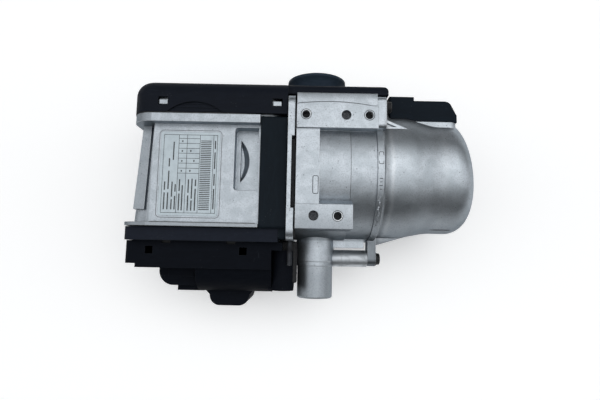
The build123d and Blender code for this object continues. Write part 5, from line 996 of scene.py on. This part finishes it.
@dataclass
class Drum:
    """The dished water jacket with its screws, spacer and sleeve, sensors, cover, cast marks and painted shadow
    lines.
    """

    cast: Finish = CastMetal(
        "jacket_cast",
        roughness=0.42,
        cloud=12.0,
        wave_depth=0.18,
        # Painted shade beside the flange and on the taper, and painted highlight stripes just past the flange
        # and at X 74.
        shade_and_highlight_bands=(
            (39.2, 2.6, 0.45), (42.4, 1.8, -0.30), (57.5, 3.0, 0.06), (68.0, 4.5, 0.10), (74.0, 3.0, -0.10)
        ),
        # Painted shade: darker towards -Y over the drum's underside and its lower ear.
        painted_shades=((Direction.Y, -18.0, -38.0, 0.50, -60.0), (Direction.Y, -41.0, -44.0, 0.65, NO_STOP)),
    )
    painted_shade: Finish = SinteredSolid("jacket_painted_shade", *PAINTED_SHADE_TONES)
    bright: Finish = TurnedMetal(
        "steel_bright", (0.50, 0.53, 0.56), (0.34, 0.36, 0.38), Direction.X, roughness=0.42
    )
    black: Finish = TurnedMetal(
        "screw_black", (0.010, 0.0105, 0.012), (0.030, 0.030, 0.031), Direction.X, metallic=0.5, roughness=0.5
    )
    brass: Finish = TurnedMetal(
        "sensor_brass", (0.66, 0.50, 0.24), (0.35, 0.25, 0.12), Direction.Y, roughness=0.34
    )
    plastic: Finish = MouldedPlastic(
        "sensor_plastic", (0.0072, 0.0112, 0.0165), (0.009, 0.0138, 0.020), grain=0.2
    )
    rubber: Finish = Rubber("jacket_rubber", (0.012, 0.012, 0.013), (0.05, 0.05, 0.052))
    seat_x: float = 38.6
    jacket_screw: SocketScrew = SocketScrew(4.0, 4.2, 2.5, 16.8)
    screw_places: tuple[Pair, ...] = ((35.4, 80.0), (36.4, 15.5), (-37.0, 14.0))
    tie_screw: SocketScrew = SocketScrew(4.3, 3.0, 2.5, 28.0, socket_depth=1.6)
    tie_place: Pair = (-54.3, 46.5)
    sleeve_span: Pair = (10.2, 33.2)
    sleeve_radius: float = 5.4
    sleeve_bore: float = 4.21
    flange_radius: float = 43.0
    frame_centre: Pair = (35.2, 3.0)
    frame_size: Pair = (2.5, 7.0)
    frame_corner: float = 0.6
    frame_bead: Pair = (0.38, 0.07)
    bars_x: float = 35.2
    bars: tuple[Pair, ...] = ((2.2, -8.6), (1.5, -10.6), (2.2, -12.6), (1.2, -14.6))
    bar_bead: Pair = (0.45, 0.12)
    flash_x: float = 35.0
    flash_sway: float = 0.4
    flash_span: Pair = (-18.5, -35.0)
    flash_bead: Pair = (1.5, 0.42)
    ridge_span: Pair = (62.0, 83.5)
    ridge_y: float = -35.9
    ridge_shadow_gap: float = 0.5
    ridge_radius: float = 37.4
    ridge_bead: Pair = (0.7, 0.22)

    def screws(self) -> None:
        """Puts detailed screws in place of the plain ones."""
        screws = repeated(self.jacket_screw.shape(), [(self.seat_x, *place) for place in self.screw_places])
        piece = make_piece("jacket_socket_screws", screws, self.black)
        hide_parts("jacket_screws")
        screw = repeated(self.tie_screw.shape(), [(self.seat_x, *self.tie_place)])
        piece = make_piece("tie_socket_screw", screw, self.black)
        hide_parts("tie_screw")

    def sleeve(self) -> None:
        """Turns the sleeve that stands round the spacer, with rounded ends and two shallow grooves."""
        (low, high), r, bore = self.sleeve_span, self.sleeve_radius, self.sleeve_bore
        groove = low + 6.0
        rows = (
            (low, bore), (low, r - 0.35), (low + 0.1, r - 0.1), (low + 0.35, r),
            (groove, r), (groove + 0.15, r - 0.12), (groove + 0.5, r - 0.12), (groove + 0.65, r),
            (high - 2.2, r), (high - 2.05, r - 0.08), (high - 1.8, r - 0.08), (high - 1.65, r),
            (high - 0.35, r), (high - 0.1, r - 0.1), (high, r - 0.35), (high, bore), (low, bore),
        )
        shape = repeated(turned(np.array(rows), 64), [(0.0, *self.tie_place)])
        make_piece("spacer_sleeve", shape, self.bright)

    def flash(self) -> Shape:
        """Works out the rough casting edge, whose height is the sum of three sines that never repeat."""
        y = np.linspace(*self.flash_span, 120)
        lumps = np.abs(np.sin(y * 1.9) + np.sin(y * 3.7 + 1.0) + 0.6 * np.sin(y * 8.3)) / 2.6
        track = on_cylinder(self.flash_x + self.flash_sway * np.sin(y * 1.3), y, self.flange_radius)
        points, faces = bead(track, *self.flash_bead, steps=10)
        path = track[0][:, None]
        grid = path + (points.reshape(len(y), -1, 3) - path) * (0.25 + lumps)[:, None, None]
        return grid.reshape(-1, 3), faces

    def marks(self) -> None:
        """Raises the flange's frame and a row of plain bars, both dark with painted shade, the rough casting
        edge, and the ridge with a painted shadow line beside it.
        """
        outline = rounded_rectangle(*self.frame_size, self.frame_corner) + np.array(self.frame_centre)
        frame_line = bead(on_cylinder(*outline.T, self.flange_radius), *self.frame_bead, closed=True)
        make_piece("drum_frame", frame_line, self.painted_shade)
        across = np.linspace(-0.5, 0.5, 7)
        bars = [
            bead(on_cylinder(self.bars_x + across * length, y, self.flange_radius), *self.bar_bead)
            for length, y in self.bars
        ]
        make_piece("drum_bars", joined(bars), self.painted_shade)
        make_piece("drum_flash", self.flash(), self.cast, sharp=80.0)
        along = np.linspace(*self.ridge_span, 80)
        # The ridge's second line is painted shade beside it.
        for name, y, finish in (
            ("drum_ridge", self.ridge_y, self.cast),
            ("drum_ridge_shadow", self.ridge_y + self.ridge_shadow_gap, self.painted_shade),
        ):
            line = bead(on_cylinder(along, y, self.ridge_radius), *self.ridge_bead)
            make_piece(name, line, finish)

    def build(self) -> None:
        """Dresses the drum's pieces and adds what it carries."""
        dress(self.cast, "water_jacket")
        dress(self.rubber, "jacket_seal")
        dress(self.bright, "tie_spacer")
        dress(self.brass, "temperature_sensor", "overheat_sensor")
        dress(self.plastic, "sensor_cover")
        self.screws()
        self.sleeve()
        self.marks()


@dataclass
class BurnerHead:
    """The burner head's plate with its gasket, burner parts, fuel pipe and air duct."""

    gasket: Finish = Rubber("gasket_sheet", (0.018, 0.019, 0.021), (0.05, 0.05, 0.052), grain=0.7)
    # A dark strip of painted shade in the head's relief.
    shade_strip_x: float = -14.55
    shade_strip_z: float = 83.0
    shade_strip_span: Pair = (-25.6, 15.1)
    shade_strip_bead: Pair = (2.5, 0.8)
    shade_strip_wave: float = 0.15
    block: Finish = Rubber("block_rubber", *DARK_RUBBER)
    block_centre: Pair = (-17.6, 53.0)
    block_size: Pair = (12.4, 20.0)
    block_corner: float = 2.5
    block_span: Pair = (-43.9, -70.0)
    block_ribs: int = 7
    rib_depth: float = 0.012

    def pipe_block(self) -> None:
        """Fills the gap behind the fuel pipe with a ribbed rubber block, rounded towards both ends.

        Its section at the share t of its length is scaled by 1 - rib_depth * (1 + cos(2 pi ribs t)) and
        closes at its ends.
        """
        outline = rounded_rectangle(*self.block_size, self.block_corner)
        share = np.linspace(0.0, 1.0, 90)
        scale = 1 - self.rib_depth * (1 + np.cos(FULL_TURN * self.block_ribs * share))
        scale *= np.sqrt(np.clip(1 - (2 * share - 1) ** 40, 0.0, 1.0))
        start, end = self.block_span
        level = start + (end - start) * share
        flat = outline[None] * scale[:, None, None] + np.array(self.block_centre)
        points = places(flat[..., 0], level[:, None], flat[..., 1]).reshape(-1, 3)
        make_piece("pipe_block", (points, grid_faces(len(share), len(outline))), self.block)

    def relief_shade_strip(self) -> None:
        """Lays a dark strip of the gasket's sheet in the head's relief, as painted shade."""
        along = np.linspace(*self.shade_strip_span, 60)
        track = on_level(self.shade_strip_x, along, self.shade_strip_z + self.shade_strip_wave * np.sin(along * 0.9))
        make_piece("relief_shade_strip", bead(track, *self.shade_strip_bead), self.gasket)

    def build(self) -> None:
        """Dresses the head's nodes and adds the painted shade strip and the block."""
        dress(CastMetal("head_cast", roughness=0.40, cloud=6.0), "head_plate")
        dress(self.gasket, "head_gasket")
        self.relief_shade_strip()
        self.pipe_block()
        dress(TurnedMetal("screw_zinc", *ZINC, Direction.X, roughness=0.36), "head_screws")
        pipe = TurnedMetal(
            "pipe_drawn", (0.045, 0.048, 0.054), (0.02, 0.02, 0.022), Direction.Y, roughness=0.5, pitch=0.3
        )
        dress(pipe, "fuel_pipe")
        dress(HeatTintedSteel("burner_steel"), "combustion_tube", "burner_insert")
        dress(MetalFleece("fleece"), "evaporator_pad")
        dress(SinteredSolid("ceramic", (0.72, 0.70, 0.65), (0.50, 0.47, 0.42), 0.42), "glow_pin")
        duct = MouldedPlastic(
            "black_duct", (0.0085, 0.0128, 0.0178), (0.0105, 0.0155, 0.0212), flow=(1.0, 0.3, 1.0)
        )
        dress(duct, "air_duct")


@dataclass
class FanHousing:
    """The fan's casting with its motor, bearings and rating plate."""

    pad_z: float = 78.3
    plate_centre: Pair = (-75.6, -6.2)
    plate_size: Pair = (34.6, 49.6)
    plate_corner: float = 1.0
    plate_height: float = 0.16
    plate_round: Pair = (0.10, 0.06)
    plate_sink: float = 0.02
    border_gap: float = 1.1
    border_corner: float = 2.4
    border_bead: Pair = (0.34, 0.05)
    rim_span: Pair = (-98.0, -36.0)
    rim_y: float = -34.75
    rim_bead: Pair = (0.7, 0.06)
    rule_width: float = 0.28
    rule_rise: float = 0.02
    rule_sink: float = 0.01
    columns: tuple[float, ...] = (0.045, 0.30, 0.44, 0.66, 0.89, 0.955)
    rows: Pair = (0.03, 0.97)
    cell_span: Pair = (0.30, 0.66)
    cell_levels: tuple[float, ...] = (0.50, 0.56, 0.62, 0.68, 0.74, 0.80, 0.86, 0.92)
    bar_place: Pair = (0.68, 0.07)
    bar_share: float = 0.86
    bar_pitch: float = 1.1
    bar_length: float = 6.2
    dash_width: float = 0.75
    dashes: tuple[Place, ...] = (
        (0.085, 0.07, 0.20), (0.085, 0.30, 0.10), (0.145, 0.07, 0.20), (0.145, 0.31, 0.22), (0.145, 0.58, 0.10),
        (0.21, 0.07, 0.12), (0.21, 0.22, 0.18), (0.21, 0.66, 0.22), (0.265, 0.07, 0.16), (0.265, 0.28, 0.09),
        (0.335, 0.06, 0.20), (0.335, 0.29, 0.14), (0.385, 0.06, 0.30), (0.485, 0.06, 0.18), (0.485, 0.27, 0.16),
        (0.545, 0.06, 0.12), (0.545, 0.20, 0.24), (0.605, 0.06, 0.26), (0.605, 0.35, 0.08), (0.915, 0.08, 0.24),
        (0.915, 0.36, 0.14), (0.915, 0.56, 0.20), (0.915, 0.80, 0.10), (0.355, 0.52, 0.02), (0.355, 0.64, 0.02),
        (0.355, 0.76, 0.02), (0.355, 0.88, 0.02), (0.50, 0.52, 0.025), (0.56, 0.64, 0.025), (0.50, 0.76, 0.025),
    )

    def plate(self) -> None:
        """Lays the rating plate: rings from its middle to its rim, over a small round and down to the pad."""
        (width, height), top, (inset, fall) = self.plate_size, self.plate_height, self.plate_round
        layers = []
        for scale, level, less in (
            (0.0, top, 0.0),
            (1.0, top, inset),
            (1.0, top - fall, 0.0),
            (1.0, -self.plate_sink, 0.0),
            (0.0, -self.plate_sink, 0.0),
        ):
            outline = rounded_rectangle(width - 2 * less, height - 2 * less, self.plate_corner - less / 2)
            layers.append(places(*(outline * scale).T, level))
        points = np.concatenate(layers) + np.array((*self.plate_centre, self.pad_z))
        shape = points, grid_faces(len(layers), len(layers[0]))
        make_piece("rating_plate", shape, PlateStock("plate_foil"), sharp=20.0)

    def border(self) -> None:
        """Lays the thin line cast round the plate, and the rim's line."""
        line = SinteredSolid("border_shade", (0.20, 0.21, 0.22), (0.12, 0.125, 0.13), 0.6)
        width, height = (size + 2 * self.border_gap for size in self.plate_size)
        outline = rounded_rectangle(width, height, self.border_corner, 10) + np.array(self.plate_centre)
        ring = bead(on_level(*outline.T, self.pad_z), *self.border_bead, closed=True)
        make_piece("plate_border", ring, line)
        track = on_level(np.linspace(*self.rim_span, 80), self.rim_y, self.pad_z)
        make_piece("rim_shade", bead(track, *self.rim_bead), line)

    def rules(self) -> None:
        """Prints plain ruled cells, plain dashes and one row of even bars, with no writing.

        Each mark is a thin box from (x0, y0) to (x1, y1), as shares of the plate from its lower left corner.
        """
        size = np.array(self.plate_size)
        thin_x, thin_y = self.rule_width / size
        columns, levels = np.array(self.columns), np.array(self.cell_levels)
        (low, high), (bar_x, bar_y) = self.rows, self.bar_place
        starts = bar_y + np.arange(int(self.bar_share * size[1] / self.bar_pitch)) * self.bar_pitch / size[1]
        ends = starts + 0.5 * self.bar_pitch / size[1]
        x, y, length = np.array(self.dashes).T
        boxes = np.concatenate(
            [
                places(columns, low, columns + thin_x, high),
                places(columns[0], (low, high - thin_y), columns[-1] + thin_x, (low + thin_y, high)),
                places(self.cell_span[0], levels, self.cell_span[1], levels + thin_y),
                places(bar_x, starts, bar_x + self.bar_length / size[0], ends),
                places(x, y, x + self.dash_width / size[0], y + length),
            ]
        )
        corner, top = np.array(self.plate_centre) - size / 2, self.pad_z + self.plate_height
        start = places(*(corner + boxes[:, :2] * size).T, top - self.rule_sink)[:, None]
        end = places(*(corner + boxes[:, 2:] * size).T, top + self.rule_rise)[:, None]
        base = np.array([(0, 0), (1, 0), (1, 1), (0, 1)])
        cube = np.concatenate([places(*base.T, level) for level in (0.0, 1.0)])
        sides = np.array([(0, 3, 2, 1), (4, 5, 6, 7), (0, 1, 5, 4), (1, 2, 6, 5), (2, 3, 7, 6), (3, 0, 4, 7)])
        faces = sides + np.arange(len(boxes))[:, None, None] * len(cube)
        shape = (start + cube * (end - start)).reshape(-1, 3), faces.reshape(-1, 4)
        make_piece("rating_plate_rules", shape, PrintedInk("plate_ink"))

    def build(self) -> None:
        """Dresses the housing and what it holds, and adds the plate."""
        # Painted shade: darker on the rail's face past X -97.2 and on the rim below Y -34.9.
        painted_shades = ((Direction.X, -97.2, -98.4, 0.42, NO_STOP), (Direction.Y, -34.9, -35.6, 0.36, NO_STOP))
        cast = CastMetal("housing_cast", cloud=7.0, roughness=0.44, painted_shades=painted_shades)
        dress(cast, "fan_housing", "bearing_carrier")
        steel = TurnedMetal("bearing_steel", (0.58,) * 3, (0.36,) * 3, Direction.Y, roughness=0.22)
        dress(steel, "upper_bearing", "lower_bearing", "motor_shaft")
        dress(TurnedMetal("carrier_zinc", *ZINC, Direction.Y, roughness=0.36), "carrier_screws")
        dress(LayeredSheets("core_steel", Direction.Y), "stator_core")
        dress(WoundWire("copper"), "stator_windings")
        dress(SinteredSolid("magnet", (0.06, 0.06, 0.064), (0.13, 0.13, 0.135), 0.5, 0.4), "rotor_magnet")
        impeller = MouldedPlastic("impeller_plastic", (0.03, 0.03, 0.032), (0.055, 0.055, 0.058))
        dress(impeller, "impeller")
        self.plate()
        self.border()
        self.rules()


@dataclass
class IntakeCover:
    """The black cap over the fan, with its seal, its duct and the flared intake."""

    def build(self) -> None:
        """Dresses the cover's nodes."""
        cover = MouldedPlastic(
            "black_plastic", (0.0078, 0.0100, 0.0155), (0.0096, 0.0122, 0.0185), roughness=0.56
        )
        dress(cover, "intake_cover")
        bell = MouldedPlastic(
            "bell_plastic", (0.022, 0.034, 0.050), (0.028, 0.041, 0.060), roughness=0.46, grain=0.3
        )
        dress(bell, "intake_bell")
        dress(Rubber("cover_rubber", (0.012, 0.012, 0.013), (0.045, 0.045, 0.047)), "cover_seal")


@dataclass
class ControlUnit:
    """The control unit's case, board, socket and seal."""

    seal_span: Pair = (-106.5, -36.0)
    seal_place: Pair = (-45.8, 70.5)
    seal_bead: Pair = (3.4, 0.9)
    seal_wave: float = 0.1

    def seal(self) -> None:
        """Lays the case's seal behind the notches in its seam."""
        along = np.linspace(*self.seal_span, 90)
        y, z = self.seal_place
        line = bead(on_level(along, y + self.seal_wave * np.sin(along * 0.7), z), *self.seal_bead)
        make_piece("case_seal", line, Rubber("seal_rubber", *DARK_RUBBER))

    def build(self) -> None:
        """Dresses the unit's nodes and adds its seal."""
        self.seal()
        upper = MouldedPlastic(
            "frame_plastic", (0.0125, 0.0155, 0.0240), (0.015, 0.0185, 0.028), streak=2.4
        )
        dress(upper, "electronics_frame")
        case = MouldedPlastic(
            "case_plastic",
            (0.0048, 0.0060, 0.0092), (0.0060, 0.0075, 0.0112),
            dust_amount=0.35,
            specular=0.03,
        )
        dress(case, "connector_cover")
        dress(CircuitBoard("board"), "control_board")
        parts = SinteredSolid("component_black", (0.02, 0.02, 0.022), (0.05, 0.05, 0.053))
        dress(parts, "board_components")
        tin = TurnedMetal(
            "pin_tin", (0.70, 0.69, 0.66), (0.48, 0.46, 0.42), Direction.Y, roughness=0.28, pitch=0.4
        )
        dress(tin, "socket_pins")


# Studio


@dataclass
class Studio:
    """Camera, floor, world and lamp."""

    camera_place: Place = (-10.32, -49.6, 325.5)
    tilt: float = 6.7
    roll: float = 1.1
    lens: float = 25.64
    sensor: float = 36.0
    clip: Pair = (0.01, 100.0)
    floor_half: float = 3000.0
    floor_steps: int = 25
    floor_gap: float = 0.3
    floor_dish: float = 2.0
    floor_colour: Colour = (0.94, 0.94, 0.94)
    floor_shade: Colour = (0.15, 0.15, 0.15)
    floor_glow: float = 0.27
    key_place: Place = (0.35, 0.35, 1.5)
    key_aim: Place = (0.0, 0.0, 0.04)
    key_power: float = 2.0
    key_size: float = 0.8
    key_colour: Colour = (1.0, 0.985, 0.965)
    band_turn: float = 5.0
    band_full: float = 14.0
    band_end: float = 50.0
    band_top: float = 1.25
    band_low: float = 0.04
    band_colour: Colour = (0.97, 0.985, 1.0)

    def camera(self) -> None:
        """Places the camera: it looks down, tilted about X and rolled about its own axis."""
        tilt, roll = math.radians(self.tilt), math.radians(self.roll)
        forward = Vector((0.0, math.sin(tilt), -math.cos(tilt)))
        up = Vector((0.0, math.cos(tilt), math.sin(tilt)))
        right = Vector((1.0, 0.0, 0.0)) * math.cos(roll) + up * math.sin(roll)
        data = bpy.data.cameras.new("camera")
        data.sensor_width, data.lens = self.sensor, self.lens
        data.clip_start, data.clip_end = self.clip
        camera = new_object("camera", data)
        turn = Matrix((right, right.cross(forward), -forward)).transposed().to_4x4()
        camera.matrix_world = Matrix.Translation(Vector(self.camera_place) * MM) @ turn
        bpy.context.scene.camera = camera

    def floor(self) -> None:
        """Lays the pale floor: a grid with a little dish towards its far edges, and not a bare plane.

        The height at the distance d from the middle is -floor_gap - floor_dish * (d / half width)^2. The
        camera and mirrors see the paper pale and glowing. Other light meets the darker shade.
        """
        side = np.linspace(-self.floor_half, self.floor_half, self.floor_steps)
        x, y = np.meshgrid(side, side, indexing="ij")
        z = -self.floor_gap - self.floor_dish * (x**2 + y**2) / self.floor_half**2
        faces = grid_faces(self.floor_steps, self.floor_steps, close_columns=False)
        mesh = new_mesh("floor", (places(x, y, z).reshape(-1, 3), faces))
        g = ShaderGraph("floor_paper")
        path = g.node("LightPath").outputs
        seen = g.maths("MAXIMUM", path["Is Camera Ray"], path["Is Glossy Ray"])
        seen = g.maths("MAXIMUM", seen, path["Is Transmission Ray"])
        colour, glow = g.blend(seen, self.floor_shade, self.floor_colour), g.times(seen, self.floor_glow)
        light = {"Emission_Color": (1.0, 1.0, 1.0), "Emission_Strength": glow}
        g.finish(colour, 0.0, 0.9, Specular_IOR_Level=0.1, **light)
        mesh.materials.append(g.material)
        floor = new_object("floor", mesh)

    def world(self) -> None:
        """Lights the surroundings with one long soft band overhead, along X and turned a little towards +Y.

        With c the cosine, seen along X, of the angle between a direction and the band's middle, the strength
        is low + (top - low) * smooth step of c from cos(end) to cos(full).
        """
        world = bpy.data.worlds.new("surroundings")
        world.use_nodes = True
        g = Graph(world.node_tree)
        flat = g.vector("MULTIPLY", g.node("TexCoord").outputs["Generated"], (0.0, 1.0, 1.0)).outputs[0]
        unit = g.vector("NORMALIZE", flat).outputs[0]
        turn, end, full = (math.radians(angle) for angle in (self.band_turn, self.band_end, self.band_full))
        facing = g.vector("DOT_PRODUCT", unit, (0.0, math.sin(turn), math.cos(turn))).outputs["Value"]
        strength = g.span(facing, math.cos(end), math.cos(full), self.band_low, self.band_top)
        light = g.node("Background", {"Color": self.band_colour, "Strength": strength})
        g.node("OutputWorld", {"Surface": light.outputs[0]})
        bpy.context.scene.world = world

    def lamp(self) -> None:
        """Hangs one square lamp that faces the heater. Its place is in metres and its power in watts."""
        data = bpy.data.lights.new("key_lamp", "AREA")
        data.energy, data.size, data.color = self.key_power, self.key_size, self.key_colour
        lamp = new_object("key_lamp", data)
        lamp.location = self.key_place
        aim = Vector(self.key_aim) - Vector(self.key_place)
        lamp.rotation_euler = aim.to_track_quat("-Z", "Y").to_euler()

    def build(self) -> None:
        """Sets up the whole studio."""
        self.camera()
        self.floor()
        self.world()
        self.lamp()
        bpy.context.scene.view_settings.view_transform = "Standard"


def main() -> None:
    """Builds the sub-assemblies in order, then the studio."""
    logging.basicConfig(level=logging.INFO, format="%(message)s")
    for part in (Exchanger(), Drum(), BurnerHead(), FanHousing(), IntakeCover(), ControlUnit(), Studio()):
        part.build()
        LOG.info("built %s", type(part).__name__)


if __name__ == "__main__":
    main()
